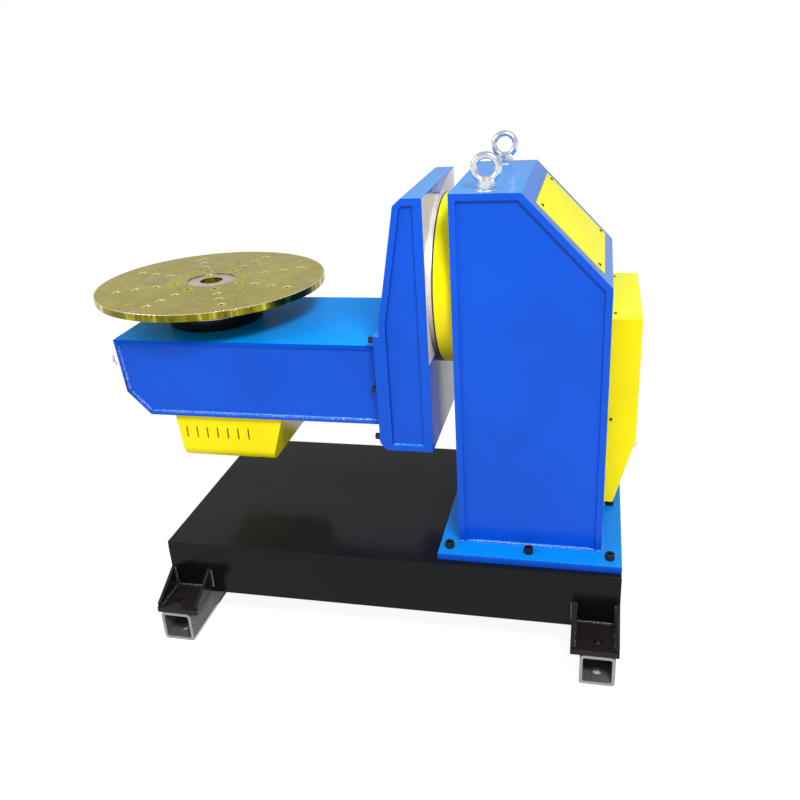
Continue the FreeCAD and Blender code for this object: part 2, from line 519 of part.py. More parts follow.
def make_upright():
    face_x = UP_X1 - UP_FACE
    inner = inset(UPRIGHT_LINE, [UP_PLATE, UP_PLATE, UP_PLATE, UP_PLATE + 2])
    loop = UPRIGHT_LINE[:-1] + [(face_x, UP_TOP)]
    inner[-1] = (face_x, inner[-1][1])
    foot = UP_BOTTOM + UP_PLATE
    inner[0] = (inner[0][0], foot)
    plates = [prism_xz([loop[i], loop[i + 1], inner[i + 1], inner[i]], -UP_HALF, UP_HALF) for i in range(4)]
    plates.append(prism_xz([loop[0], inner[0], (face_x, foot), (face_x, UP_BOTTOM)], -UP_HALF, UP_HALF))
    joint_holes = [rod(7, V(UP_X0 - JOINT_FLANGE - 1, y, z), X, 60) for y, z in joint_bolt_places()]
    plates[0] = cut_all(plates[0], joint_holes)
    save("upright_back_plate", plates[0].fuse(plates[1]).removeSplitter())
    save("upright_end_plates", plates[2].fuse(plates[3]).removeSplitter(), plates[4])

    face = box(face_x, UP_X1, -UP_HALF, UP_HALF, UP_BOTTOM, UP_TOP)
    face = rounded(face, 3, lambda c, e: abs(c.x - UP_X1) < 0.1)
    face = face.cut(rod(FLANGE_BORE_R, V(face_x - 1, 0, TILT_Z), X, UP_FACE + 2))
    face = face.cut(rod(RING_R, V(TILT_FLANGE_X0, 0, TILT_Z), X, FLANGE_SUNK + 1))
    bolts = on_circle(V(face_x - 1, 0, TILT_Z), X, UPRIGHT_BOLT_R, 12, 15)
    save("upright_face_plate", cut_all(face, [rod(8, p, X, UP_FACE + 2) for p in bolts]))

    side = [inner[0], inner[1], inner[2], inner[3], inner[4], (face_x, foot)]
    depth = UP_HALF - SIDE_RECESS
    save("upright_side_plates", prism_xz(side, -depth, -depth + SIDE_PLATE),
         prism_xz(side, depth - SIDE_PLATE, depth))


def joint_bolt_places():
    rows = [(y, z) for z in (699.0, 867.0, 1035.0) for y in (-271.0, 271.0)]
    return rows + [(y, z) for z in (699.0, 1035.0) for y in (-90.0, 90.0)]


BEAM_LINE = [(UP_X0 - JOINT_FLANGE, BEAM_BOTTOM), (-838.0, BEAM_BOTTOM), (-915.0, 819.0),
             (BEAM_X0, BEAM_TOP), (UP_X0 - JOINT_FLANGE, BEAM_TOP)]


def make_beam():
    flange_x = UP_X0 - JOINT_FLANGE
    heel = [(flange_x, JOINT_HEEL), (flange_x, JOINT_TOP), (UP_X0, JOINT_TOP), (UP_X0, UP_BOTTOM + 2)]
    flange = prism_xz(heel, -UP_HALF, UP_HALF)
    holes = [rod(7, V(flange_x - 1, y, z), X, 60) for y, z in joint_bolt_places()]
    flange = rounded(flange, 2, lambda c, e: abs(c.x - flange_x) < 0.1 and e.Length > 100)
    save("beam_flange", cut_all(flange, holes))
    save("joint_bolts", *[joint_bolt(V(flange_x, y, z)) for y, z in joint_bolt_places()])

    bottom, toe, end, top = strip(BEAM_LINE, [BEAM_PLATE] * 3 + [BEAM_PLATE + 2], BEAM_HALF)
    x0, x1, half = MOTOR_WINDOW
    bottom = bottom.cut(box(x0, x1, -half, half, BEAM_BOTTOM - 1, BEAM_BOTTOM + BEAM_PLATE + 1))
    bottom = cut_all(bottom, [rod(2.5, p, Z, 20) for p in tray_screw_points()])
    top = top.cut(rod(138, V(TABLE_X, 0, BEAM_TOP - 30), Z, 40))
    top = cut_all(top, [rod(6, p, Z, 40) for p in riser_bolt_points(BEAM_TOP - 30)])
    end_eyes = [rod(6, V(BEAM_X0 - 1, y, ARM_EYE_Z), X, 40) for y in ARM_EYE_Y]
    save("beam_bottom_plate", bottom)
    save("beam_top_plate", top)
    save("beam_end_plates", toe, cut_all(end, end_eyes))
    inner = inset(BEAM_LINE, [BEAM_PLATE] * 3 + [BEAM_PLATE + 2])
    depth = BEAM_HALF - BEAM_RECESS
    save("beam_side_plates", prism_xz(inner, -depth, -depth + BEAM_PLATE),
         prism_xz(inner, depth - BEAM_PLATE, depth))

    slope = (BEAM_LINE[3][0] - BEAM_LINE[2][0]) / (BEAM_LINE[3][1] - BEAM_LINE[2][1])
    eye_x = BEAM_LINE[2][0] + slope * (ARM_EYE_Z - BEAM_LINE[2][1])
    save("arm_lifting_eyes", *[eye_bolt(V(eye_x - 1, y, ARM_EYE_Z), X * -1, 0.5) for y in ARM_EYE_Y])


def joint_bolt(seat):
    washer = tube(14, 7, seat - X * 3, X, 3)
    return cap_screw(seat - X * 3, X, 14, 43).fuse(washer).removeSplitter()


def tray_screw_points():
    return [V(x, y, BEAM_BOTTOM - 1) for x in (-700.0, -552.0, -404.0) for y in (-216.0, 216.0)]


def make_motor_tray():
    """Folded sheet cover that hangs under the beam round the faceplate motor."""
    def block(off, top):
        profile = [(TRAY_X0 + off, top), (TRAY_FOOT_X0 + off, TRAY_BOTTOM + off),
                   (TRAY_FOOT_X1 - off, TRAY_BOTTOM + off), (TRAY_X1 - off, top)]
        solid = prism_xz(profile, -TRAY_HALF + off, TRAY_HALF - off)
        return rounded(solid, 46 - off, lambda c, e: abs(c.z - TRAY_BOTTOM - off) < 1 and abs(c.y) > 100)
    shell = block(0, BEAM_BOTTOM).cut(block(SHEET, BEAM_BOTTOM))
    lips = [box(TRAY_X0 + SHEET, TRAY_X1 - 8, sy * (TRAY_HALF - SHEET) - (35 if sy > 0 else 0),
                sy * (TRAY_HALF - SHEET) + (0 if sy > 0 else 35), BEAM_BOTTOM - SHEET, BEAM_BOTTOM)
            for sy in (-1, 1)]
    shell = shell.fuse(lips).removeSplitter()
    slots = []
    for i in range(7):
        x = TRAY_FOOT_X0 + 21 + i * 38.5
        for sy in (-1, 1):
            y0, y1 = sorted((sy * TRAY_HALF, sy * (TRAY_HALF - 20)))
            slots.append(box(x - 2.5, x + 2.5, y0 - 1, y1 + 1, 642, 684))
    slots += [rod(3, p - Z * 10, Z, 20) for p in tray_screw_points()]
    save("motor_tray", cut_all(shell, slots))
    save("motor_tray_screws", *[pan_screw(p + Z * (1 - SHEET), Z, 5, 14) for p in tray_screw_points()])


# ---------------------------------------------------------------- faceplate bearing and drive
def riser_bolt_points(z):
    return on_circle(V(TABLE_X, 0, z), Z, 152.0, 12, 15)


def table_outer_points(z):
    return on_circle(V(TABLE_X, 0, z), Z, 154.0, 12, 0)


def make_table_bearing():
    floor_z = BEAM_TOP + RISER_FLOOR
    riser = rod(RISER_R, V(TABLE_X, 0, BEAM_TOP), Z, RISER_TOP - BEAM_TOP)
    riser = riser.cut(rod(136, V(TABLE_X, 0, floor_z), Z, 60))
    riser = riser.cut(rod(40, V(TABLE_PINION_X, 0, BEAM_TOP), Z, RISER_FLOOR))
    riser = cut_all(riser, [rod(6, p, Z, 60) for p in riser_bolt_points(BEAM_TOP - 1)])
    riser = cut_all(riser, [rod(9.2, p, Z, 60) for p in riser_bolt_points(RISER_TOP - 14)])
    riser = cut_all(riser, [rod(5, p, Z, 22) for p in table_outer_points(RISER_TOP - 22)])
    fixings = on_circle(V(TABLE_PINION_X, 0, BEAM_TOP), Z, 52, 6, 30)
    riser = cut_all(riser, [rod(4, p, Z, 10) for p in fixings])
    save("table_riser", riser)

    centre = V(TABLE_X, 0, TABLE_BALL_Z)
    groove = race(centre, Z, TABLE_BALL_PITCH, TABLE_BALL_R + BALL_FIT)
    outer = tube(RISER_R, 136.5, V(TABLE_X, 0, RISER_TOP), Z, 44).cut(groove)
    outer = cut_all(outer, [rod(5, p, Z, 60) for p in table_outer_points(RISER_TOP - 1)])
    outer = cut_all(outer, [rod(7.8, p, Z, 60) for p in table_outer_points(RISER_TOP + 33)])
    save("table_bearing_outer_ring", outer)
    save("table_bearing_bolts", *[cap_screw(p, Z * -1, 10, 52) for p in table_outer_points(RISER_TOP + 33)])
    save("table_bearing_balls", *balls(centre, Z, TABLE_BALL_PITCH, TABLE_BALL_R, TABLE_BALL_COUNT))

    pitch_r = TABLE_MODULE * TABLE_RING_TEETH / 2
    ring_h = HUB_Z - TABLE_RING_Z
    inner = rod(133.5, V(TABLE_X, 0, TABLE_RING_Z), Z, ring_h).cut(groove)
    space = gear_outline(TABLE_MODULE, TABLE_RING_TEETH, pitch_r + 1.25 * TABLE_MODULE,
                         pitch_r - 0.68 * TABLE_MODULE, 0, 0)
    inner = inner.cut(gear_solid(space, V(TABLE_X, 0, TABLE_RING_Z), Z, ring_h))
    save("table_bearing_gear_ring", cut_all(inner, [rod(4, p, Z, 14) for p in hub_bolt_points(HUB_Z - 14)]))

    hub = rod(150, V(TABLE_X, 0, HUB_Z), Z, 25)
    hub = hub.fuse(rod(30, V(TABLE_X, 0, BEAM_TOP + 18), Z, HUB_Z - BEAM_TOP - 18))
    hub = hub.cut(rod(20, V(TABLE_X, 0, BEAM_TOP), Z, 160)).removeSplitter()
    hub = hub.cut(rod(CENTRE_BORE_R + 3, V(TABLE_X, 0, HUB_Z + 15), Z, 20))
    hub = cut_all(hub, [rod(4, p, Z, 30) for p in hub_bolt_points(HUB_Z - 1)])
    hub = cut_all(hub, [rod(6.8, p, Z, 30) for p in hub_bolt_points(HUB_Z + 16)])
    plate_taps = row_points(TABLE_BOLT_R, HUB_Z)
    hub = cut_all(hub, [rod(6, p, Z, 25) for p in plate_taps])
    save("table_hub", hub)


def hub_bolt_points(z):
    return on_circle(V(TABLE_X, 0, z), Z, 118.0, 12, 7.5)


def row_points(radius, z):
    return on_circle(V(TABLE_X, 0, z), Z, radius, TABLE_ROWS, TABLE_ROW_START)


def make_faceplate():
    base = TABLE_TOP - TABLE_THICK
    plate = rod(TABLE_R, V(TABLE_X, 0, base), Z, TABLE_THICK)
    plate = rounded(plate, 2, lambda c, e: e.Length > 2000)
    plate = plate.cut(rod(CENTRE_BORE_R, V(TABLE_X, 0, base), Z, TABLE_THICK))
    plate = plate.cut(rod(CENTRE_RECESS_R, V(TABLE_X, 0, TABLE_TOP - CENTRE_RECESS), Z, 10))
    holes = [rod(8, p, Z, TABLE_THICK + 2) for r in TABLE_HOLE_RADII for p in row_points(r, base - 1)]
    holes += [Part.makeCone(8, 10, 2, p, Z) for r in TABLE_HOLE_RADII for p in row_points(r, TABLE_TOP - 2)]
    plate = cut_all(plate, holes)
    plate = cut_all(plate, [rod(6, p, Z, 40) for p in row_points(TABLE_BOLT_R, base - 1)])
    plate = cut_all(plate, [rod(9.5, p, Z, 40) for p in row_points(TABLE_BOLT_R, TABLE_TOP - 13)])
    save("faceplate", plate)
    screws = [cap_screw(p, Z * -1, 12, 34) for p in row_points(TABLE_BOLT_R, TABLE_TOP - 13)]
    screws += [cap_screw(p, Z * -1, 8, 28) for p in hub_bolt_points(HUB_Z + 16)]
    save("faceplate_bolts", *screws)


def make_table_drive():
    at = V(TABLE_PINION_X, 0, 0)
    body = rod(64, at + Z * (BEAM_TOP - 16), Z, 16)
    body = body.fuse([rod(40, at + Z * BEAM_TOP, Z, 10), rod(43, at + Z * (BEAM_TOP - 140), Z, 124)])
    body = body.cut(rod(26, at + Z * (BEAM_TOP - 14), Z, 40))
    body = body.cut(rod(16, at + Z * (BEAM_TOP - 141), Z, 170))
    fixings = on_circle(at + Z * BEAM_TOP, Z, 52, 6, 30)
    body = cut_all(body, [rod(4, p - Z * 16, Z, 16) for p in fixings])
    save("table_gearbox", body.removeSplitter())
    screws = [cap_screw(p - Z * 16, Z, 8, 24) for p in fixings]
    screws += [cap_screw(p, Z * -1, 12, 38) for p in riser_bolt_points(RISER_TOP - 14)]
    save("table_drive_bolts", *screws)
    save("table_gearbox_bearing", tube(26, 14, at + Z * (BEAM_TOP - 14), Z, 20))

    pitch_r = TABLE_MODULE * TABLE_PINION_TEETH / 2
    teeth = gear_outline(TABLE_MODULE, TABLE_PINION_TEETH, pitch_r + TABLE_MODULE,
                         pitch_r - 1.25 * TABLE_MODULE, TOOTH_PLAY * 0.8, 0)
    low, high = RISER_TOP + 7.0, HUB_Z - 4.0
    pinion = gear_solid(teeth, at + Z * low, Z, high - low)
    pinion = pinion.fuse(rod(14 - RUNNING_FIT, at + Z * (BEAM_TOP - 50), Z, high - BEAM_TOP + 50))
    save("table_pinion", pinion.removeSplitter())

    top = BEAM_TOP - 140
    motor = box(at.x - 68, at.x + 68, -68, 68, top - 14, top)
    can = rounded(box(at.x - 62, at.x + 62, -62, 62, top - 170, top - 14), 14,
                  lambda c, e: abs(c.z - top + 92) < 1)
    tail = rod(50, at + Z * (top - 225), Z, 55)
    plug = box(at.x + 62, at.x + 92, -18, 18, top - 160, top - 122)
    motor = motor.fuse([can, tail, plug]).cut(rod(50, at + Z * (top - 160), Z, 142))
    motor = motor.cut(rod(12 + RUNNING_FIT, at + Z * (top - 180), Z, 190))
    save("table_motor", motor.removeSplitter())
    rotor = rod(12, at + Z * (top - 176), Z, 226).fuse(rod(46, at + Z * (top - 140), Z, 104))
    save("table_motor_rotor", rotor.removeSplitter())

    ring_r, brush_z = 30.0, BEAM_TOP + 22.0
    floor_z = BEAM_TOP + RISER_FLOOR
    x1 = TABLE_X - ring_r
    brush = box(x1 - 18, x1 + 3, -8, 8, brush_z, brush_z + 16)
    brush = brush.cut(rod(ring_r + RUNNING_FIT, V(TABLE_X, 0, brush_z - 1), Z, 20))
    turns = 4
    line = Part.makeHelix(5.5, 5.5 * turns, 5.5)
    line.rotate(V(0, 0, 0), Y, 90)
    line.translate(V(x1 - 41, 0, brush_z + 8))
    start = line.Edges[0].valueAt(line.Edges[0].FirstParameter)
    ring = Part.Wire([Part.makeCircle(0.8, start, line.Edges[0].tangentAt(line.Edges[0].FirstParameter))])
    spring = Part.Wire(line.Edges).makePipeShell([ring], True, True)
    save("earth_brush", brush, spring)
    holder = box(x1 - 48, x1 - 6, -14, 14, floor_z, brush_z + 22)
    holder = holder.cut(box(x1 - 42, x1, -8, 8, brush_z, brush_z + 16))
    save("brush_holder", holder)


make_plinth()
make_feet()
make_column()
make_rear_cover()
make_tilt_bearing()
make_tilt_drive()
make_upright()
make_beam()
make_motor_tray()
make_table_bearing()
make_faceplate()
make_table_drive()
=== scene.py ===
import json
import math

import bmesh
import bpy
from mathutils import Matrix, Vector


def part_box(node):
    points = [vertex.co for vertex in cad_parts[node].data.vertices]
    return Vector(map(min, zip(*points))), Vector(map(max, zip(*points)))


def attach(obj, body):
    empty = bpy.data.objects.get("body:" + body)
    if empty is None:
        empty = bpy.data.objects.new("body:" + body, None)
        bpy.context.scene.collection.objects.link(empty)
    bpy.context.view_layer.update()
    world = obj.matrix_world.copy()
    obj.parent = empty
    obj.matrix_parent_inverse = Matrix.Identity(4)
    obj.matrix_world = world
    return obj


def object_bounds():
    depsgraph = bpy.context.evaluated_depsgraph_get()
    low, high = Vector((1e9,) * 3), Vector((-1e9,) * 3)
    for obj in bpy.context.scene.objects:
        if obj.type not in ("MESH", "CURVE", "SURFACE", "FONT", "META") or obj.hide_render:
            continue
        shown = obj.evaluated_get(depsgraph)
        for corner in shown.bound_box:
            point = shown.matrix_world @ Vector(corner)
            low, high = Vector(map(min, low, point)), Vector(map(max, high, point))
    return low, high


bl_info = {
    "name": "Welding positioner dressing",
    "version": (1, 0, 0),
    "blender": (4, 5, 0),
    "location": "View3D > Sidebar > Positioner",
    "description": "Paint, plating, weld beads and fittings for a two-axis welding positioner",
    "category": "Object",
}

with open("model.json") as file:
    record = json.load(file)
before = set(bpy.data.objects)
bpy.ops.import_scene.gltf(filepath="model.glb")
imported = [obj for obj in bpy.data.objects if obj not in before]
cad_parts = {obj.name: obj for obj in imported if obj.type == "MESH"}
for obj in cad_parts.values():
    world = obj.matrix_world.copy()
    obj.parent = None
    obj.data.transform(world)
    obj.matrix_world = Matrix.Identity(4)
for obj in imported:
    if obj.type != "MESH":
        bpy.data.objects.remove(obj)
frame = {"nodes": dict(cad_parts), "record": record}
CAD_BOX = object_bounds()
NODES = frame["nodes"]

X, Y, Z = Vector((1, 0, 0)), Vector((0, 1, 0)), Vector((0, 0, 1))

# Sizes of the frame that no node's box gives, in metres
TOE_TOP_X, TOE_TOP_Z = -0.915, 0.819
FOOT_PLATE_WIDTH, GUSSET_THICK = 0.150, 0.012
EYE_SPACER_R = 0.028
FACEPLATE_RINGS = (0.125, 0.190, 0.260, 0.325)
FACEPLATE_ROWS, FACEPLATE_ROW_START = 8, math.radians(-15)
HUB_R = 0.085

# Stage
FLOOR_REACH, FLOOR_GLOW, FLOOR_GLOW_SHARE = 40.0, 1.09, 0.85
CAMERA_AT = (0.6673, -2.6487, 1.9108)
CAMERA_TURN = tuple(math.radians(angle) for angle in (66.206, 3.323, 12.684))


# ---------------------------------------------------------------- settings a user may change
class POSITIONER_PG_finishes(bpy.types.PropertyGroup):
    """Colours of the finishes"""
    blue: bpy.props.FloatVectorProperty(
        name="Arm and column paint", description="Gloss paint on the column and the arm",
        subtype="COLOR", size=3, min=0, max=1, default=(0.0020, 0.074, 0.545))
    yellow: bpy.props.FloatVectorProperty(
        name="Cover paint", description="Gloss paint on the sheet covers and the guard ring",
        subtype="COLOR", size=3, min=0, max=1, default=(0.83, 0.71, 0.0))
    black: bpy.props.FloatVectorProperty(
        name="Plinth paint", description="Gloss paint on the plinth and the foot plates",
        subtype="COLOR", size=3, min=0, max=1, default=(0.0035, 0.0040, 0.0045))
    tube: bpy.props.FloatVectorProperty(
        name="Foot tubes", description="Dull primed steel of the two foot tubes",
        subtype="COLOR", size=3, min=0, max=1, default=(0.115, 0.108, 0.100))
    plating: bpy.props.FloatVectorProperty(
        name="Faceplate plating", description="Yellow passivated zinc on the faceplate",
        subtype="COLOR", size=3, min=0, max=1, default=(0.72, 0.62, 0.036))
    machined: bpy.props.FloatVectorProperty(
        name="Machined steel", description="Bare turned steel of the tilt flange",
        subtype="COLOR", size=3, min=0, max=1, default=(0.92, 0.86, 0.80))
    zinc: bpy.props.FloatVectorProperty(
        name="Bright zinc", description="Zinc plate on the lifting eyes",
        subtype="COLOR", size=3, min=0, max=1, default=(0.78, 0.79, 0.82))
    oxide: bpy.props.FloatVectorProperty(
        name="Black oxide", description="Blackened steel of the screws",
        subtype="COLOR", size=3, min=0, max=1, default=(0.022, 0.022, 0.025))


class POSITIONER_PG_sizes(bpy.types.PropertyGroup):
    """Sizes of the dressing"""
    bead: bpy.props.FloatProperty(
        name="Weld bead", description="Radius of the weld beads on the heavy plates",
        subtype="DISTANCE", unit="LENGTH", min=0.001, max=0.012, default=0.0064)
    ripple: bpy.props.FloatProperty(
        name="Weld ripple", description="Distance from one weld ripple to the next",
        subtype="DISTANCE", unit="LENGTH", min=0.002, max=0.03, default=0.0075)
    plate_edge: bpy.props.FloatProperty(
        name="Plate edge", description="Broken edge of the heavy plates",
        subtype="DISTANCE", unit="LENGTH", min=0.0002, max=0.004, default=0.0018)
    sheet_edge: bpy.props.FloatProperty(
        name="Sheet edge", description="Broken edge of the sheet covers",
        subtype="DISTANCE", unit="LENGTH", min=0.0001, max=0.002, default=0.0008)
    screw_edge: bpy.props.FloatProperty(
        name="Screw edge", description="Broken edge of the screws",
        subtype="DISTANCE", unit="LENGTH", min=0.0001, max=0.002, default=0.0006)


class POSITIONER_PG_stage(bpy.types.PropertyGroup):
    """Light and camera"""
    key: bpy.props.FloatProperty(
        name="Key light", description="Power of the large overhead light",
        subtype="POWER", unit="POWER", min=0, max=5000, default=150)
    fill: bpy.props.FloatProperty(
        name="Fill light", description="Power of the side light",
        subtype="POWER", unit="POWER", min=0, max=5000, default=45)
    sky: bpy.props.FloatProperty(
        name="Room light", description="Strength of the even light from all round",
        min=0, max=3, default=0.60)
    floor: bpy.props.FloatVectorProperty(
        name="Floor colour", description="Pale floor under the machine",
        subtype="COLOR", size=3, min=0, max=1, default=(0.9, 0.9, 0.9))
    lens: bpy.props.FloatProperty(
        name="Lens", description="Focal length of the camera, in millimetres",
        min=10, max=200, default=37.558)


# ---------------------------------------------------------------- node trees
def tree_of(name):
    """New material with an empty node tree, and its output node."""
    material = bpy.data.materials.new(name)
    material.use_nodes = True
    tree = material.node_tree
    tree.nodes.clear()
    return material, tree, tree.nodes.new("ShaderNodeOutputMaterial")


def add(tree, kind, inputs=None, **settings):
    """Adds a node; inputs maps a socket's name or number to a value or another socket."""
    node = tree.nodes.new(kind)
    for key, value in settings.items():
        setattr(node, key, value)
    for key, value in (inputs or {}).items():
        if isinstance(value, bpy.types.NodeSocket):
            tree.links.new(value, node.inputs[key])
        else:
            node.inputs[key].default_value = value
    return node


def ramp(tree, factor, stops):
    """Colour ramp through (position, colour) stops."""
    node = add(tree, "ShaderNodeValToRGB", {"Fac": factor})
    elements = node.color_ramp.elements
    while len(elements) < len(stops):
        elements.new(0.5)
    for element, (position, colour) in zip(elements, stops):
        element.position = position
        element.color = (*colour, 1)
    return node.outputs["Color"]


def grade(tree, value, low, high, out_low, out_high):
    """Maps low..high to out_low..out_high, held at both ends."""
    node = add(tree, "ShaderNodeMapRange", {"Value": value, "From Min": low, "From Max": high,
                                            "To Min": out_low, "To Max": out_high})
    return node.outputs["Result"]


def arithmetic(tree, operation, first, second=0.0):
    node = add(tree, "ShaderNodeMath", {0: first, 1: second}, operation=operation)
    return node.outputs["Value"]


def blend_colour(tree, factor, first, second, mode="MIX"):
    node = add(tree, "ShaderNodeMix", data_type="RGBA", blend_type=mode)
    for key, value in ((0, factor), (6, first), (7, second)):
        if isinstance(value, bpy.types.NodeSocket):
            tree.links.new(value, node.inputs[key])
        else:
            node.inputs[key].default_value = value if key == 0 else (*value, 1)
    return node.outputs[2]


def noise(tree, vector, scale, detail=2.0, rough=0.5, distortion=0.0):
    node = add(tree, "ShaderNodeTexNoise", {"Vector": vector, "Scale": scale, "Detail": detail,
                                            "Roughness": rough, "Distortion": distortion})
    return node.outputs["Fac"]


def place(tree, centre=(0, 0, 0), turn=(0, 0, 0), size=(1, 1, 1)):
    """Coordinates on the piece, measured from centre."""
    where = add(tree, "ShaderNodeTexCoord").outputs["Object"]
    moved = add(tree, "ShaderNodeMapping", {"Vector": where, "Location": [-c for c in centre]})
    return add(tree, "ShaderNodeMapping", {"Vector": moved.outputs["Vector"], "Rotation": turn,
                                           "Scale": size}).outputs["Vector"]


def bump(tree, height, distance, strength=1.0, under=None):
    inputs = {"Height": height, "Distance": distance, "Strength": strength}
    if under is not None:
        inputs["Normal"] = under
    return add(tree, "ShaderNodeBump", inputs).outputs["Normal"]


def tint(colour, factor):
    return tuple(min(1.0, c * factor) for c in colour)


def gloss_paint(name, colour, top_light_tone=None, specks=None, rough=(0.16, 0.30), peel=1.0, coat=0.08, bare=None,
                dirt_and_glint_threshold=0.70, ior=1.22):
    """Sprayed gloss enamel: orange peel, slow waves in the film, cloudy tone.

    The tone given for faces that face up is painted top light: it is laid on whatever faces up in the world,
    so it moves as the part turns. The speck tone is for small specks of stray dirt, and on the welds the pale
    specks are painted glints.
    bare is (x, low z, high z, colour) of a band on the face beyond x that's left unpainted; its pale tone and
    its top edge, a little higher towards its sides, are a painted reflection of the flange.
    A lower speck threshold gives more specks.
    """
    material, tree, out = tree_of(name)
    at = place(tree)
    cloud = noise(tree, at, 2.6, 3, 0.55)
    mist = noise(tree, at, 38, 4, 0.65)
    speck = noise(tree, at, 420, 2, 0.6)
    base = ramp(tree, cloud, [(0.25, tint(colour, 0.86)), (0.5, colour), (0.78, tint(colour, 1.12))])
    base = blend_colour(tree, grade(tree, mist, 0.35, 0.75, 0.0, 0.10), base, tint(colour, 0.72))
    # painted top light: faces that face up in the world take the lighter tone given for them
    up = add(tree, "ShaderNodeSeparateXYZ",
             {"Vector": add(tree, "ShaderNodeNewGeometry").outputs["Normal"]}).outputs["Z"]
    top_light_mask = grade(tree, up, 0.45, 0.95, 0.0, 1.0)
    base = blend_colour(tree, top_light_mask, base, top_light_tone or tint(colour, 1.1))
    # small specks of stray dirt, and on the welds pale specks that are painted glints
    dirt_and_glint_strength = 0.25 if dirt_and_glint_threshold > 0.65 else 0.9
    dirt_and_glints = grade(tree, speck, dirt_and_glint_threshold, dirt_and_glint_threshold + 0.06, 0.0, dirt_and_glint_strength)
    base = blend_colour(tree, dirt_and_glints, base, specks or tint(colour, 0.6))
    shine = grade(tree, arithmetic(tree, "ADD", cloud, arithmetic(tree, "MULTIPLY", mist, 0.5)),
                  0.45, 1.0, rough[0], rough[1])
    shine = arithmetic(tree, "ADD", shine, arithmetic(tree, "MULTIPLY", dirt_and_glints, 0.4))
    film = noise(tree, at, 230, 2, 0.5)
    wave = noise(tree, at, 14, 2, 0.5)
    normal = bump(tree, film, 0.00022 * peel, 0.55)
    normal = bump(tree, wave, 0.0016 * peel, 0.35, normal)
    shader = add(tree, "ShaderNodeBsdfPrincipled", {
        "Base Color": base, "Roughness": shine, "Normal": normal, "IOR": ior,
        "Coat Weight": coat, "Coat Roughness": 0.05, "Coat IOR": 1.45})
    surface = shader.outputs[0]
    # pale band on the face beside the flange: left unpainted, with a pale tone and a top edge that are a
    # painted reflection of the flange
    if bare:
        face_x, low_z, high_z, reflection_band_colour = bare
        tone = ramp(tree, mist, [(0.3, tint(reflection_band_colour, 0.88)), (0.7, reflection_band_colour)])
        steel = add(tree, "ShaderNodeBsdfPrincipled", {
            "Base Color": tone, "Metallic": 0.25, "Roughness": grade(tree, mist, 0.3, 0.7, 0.38, 0.5),
            "Normal": bump(tree, film, 0.00002, 0.4)})
        apart = add(tree, "ShaderNodeSeparateXYZ", {"Vector": at})
        mask = grade(tree, apart.outputs["X"], face_x - 0.0006, face_x - 0.0002, 0.0, 1.0)
        sideways = arithmetic(tree, "MULTIPLY", arithmetic(tree, "ABSOLUTE", apart.outputs["Y"]), 0.184)
        height = apart.outputs["Z"]
        over = arithmetic(tree, "SUBTRACT", arithmetic(tree, "SUBTRACT", height, high_z), sideways)
        mask = arithmetic(tree, "MULTIPLY", mask, grade(tree, over, -0.001, 0.002, 1.0, 0.0))
        mask = arithmetic(tree, "MULTIPLY", mask, grade(tree, height, low_z - 0.002, low_z, 0.0, 1.0))
        surface = add(tree, "ShaderNodeMixShader", {0: mask, 1: surface, 2: steel.outputs[0]}).outputs[0]
    tree.links.new(surface, out.inputs["Surface"])
    return material


def turned_rings(tree, axis, centre, pitch):
    """Height of fine lathe lines about an axis, and the distance from that axis."""
    turn = {"X": (0, math.radians(90), 0), "Z": (0, 0, 0)}[axis]
    at = place(tree, centre, turn)
    flat = add(tree, "ShaderNodeVectorMath", {0: at, 1: (1, 1, 0)}, operation="MULTIPLY").outputs[0]
    radius = add(tree, "ShaderNodeVectorMath", {0: flat}, operation="LENGTH").outputs["Value"]
    lines = arithmetic(tree, "SINE", arithmetic(tree, "MULTIPLY", radius, 2 * math.pi / pitch))
    return at, radius, lines


def turned_steel(name, colour, axis, centre, pitch=0.0011, rough=(0.22, 0.40), underside_shade=None, metallic=1.0):
    """Bare lathe-turned steel, with faint stains where oil has dried.

    The tone given for undersides darkens faces that face down, most where they face straight down: painted
    shade.
    """
    material, tree, out = tree_of(name)
    _, radius, lines = turned_rings(tree, axis, centre, pitch)
    band = noise(tree, add(tree, "ShaderNodeCombineXYZ", {"X": radius}).outputs[0], 60, 3, 0.6)
    along = place(tree)
    stain = noise(tree, along, 9, 5, 0.62, 0.6)
    fine = noise(tree, along, 300, 2, 0.6)
    base = ramp(tree, stain, [(0.28, tint(colour, 0.72)), (0.5, colour), (0.8, tint(colour, 1.15))])
    base = blend_colour(tree, grade(tree, band, 0.3, 0.7, 0.0, 0.25), base, tint(colour, 0.66))
    base = blend_colour(tree, grade(tree, stain, 0.64, 0.72, 0.0, 0.35), base, (0.34, 0.25, 0.16))
    # painted shade: faces that face down are darkened towards the tone given for undersides
    if underside_shade:
        up = add(tree, "ShaderNodeSeparateXYZ",
                 {"Vector": add(tree, "ShaderNodeNewGeometry").outputs["Normal"]}).outputs["Z"]
        base = blend_colour(tree, grade(tree, up, 0.35, -0.1, 0.0, 0.6), base, tint(underside_shade, 0.5))
        base = blend_colour(tree, grade(tree, up, 0.0, -0.55, 0.0, 1.0), base, tint(underside_shade, 0.16))
    shine = grade(tree, arithmetic(tree, "ADD", band, arithmetic(tree, "MULTIPLY", fine, 0.4)),
                  0.4, 1.0, rough[0], rough[1])
    normal = bump(tree, lines, 0.00005, 0.6)
    normal = bump(tree, fine, 0.00006, 0.5, normal)
    shader = add(tree, "ShaderNodeBsdfPrincipled", {
        "Base Color": base, "Metallic": metallic, "Roughness": shine, "Normal": normal, "Anisotropic": 0.35})
    tree.links.new(shader.outputs[0], out.inputs["Surface"])
    return material


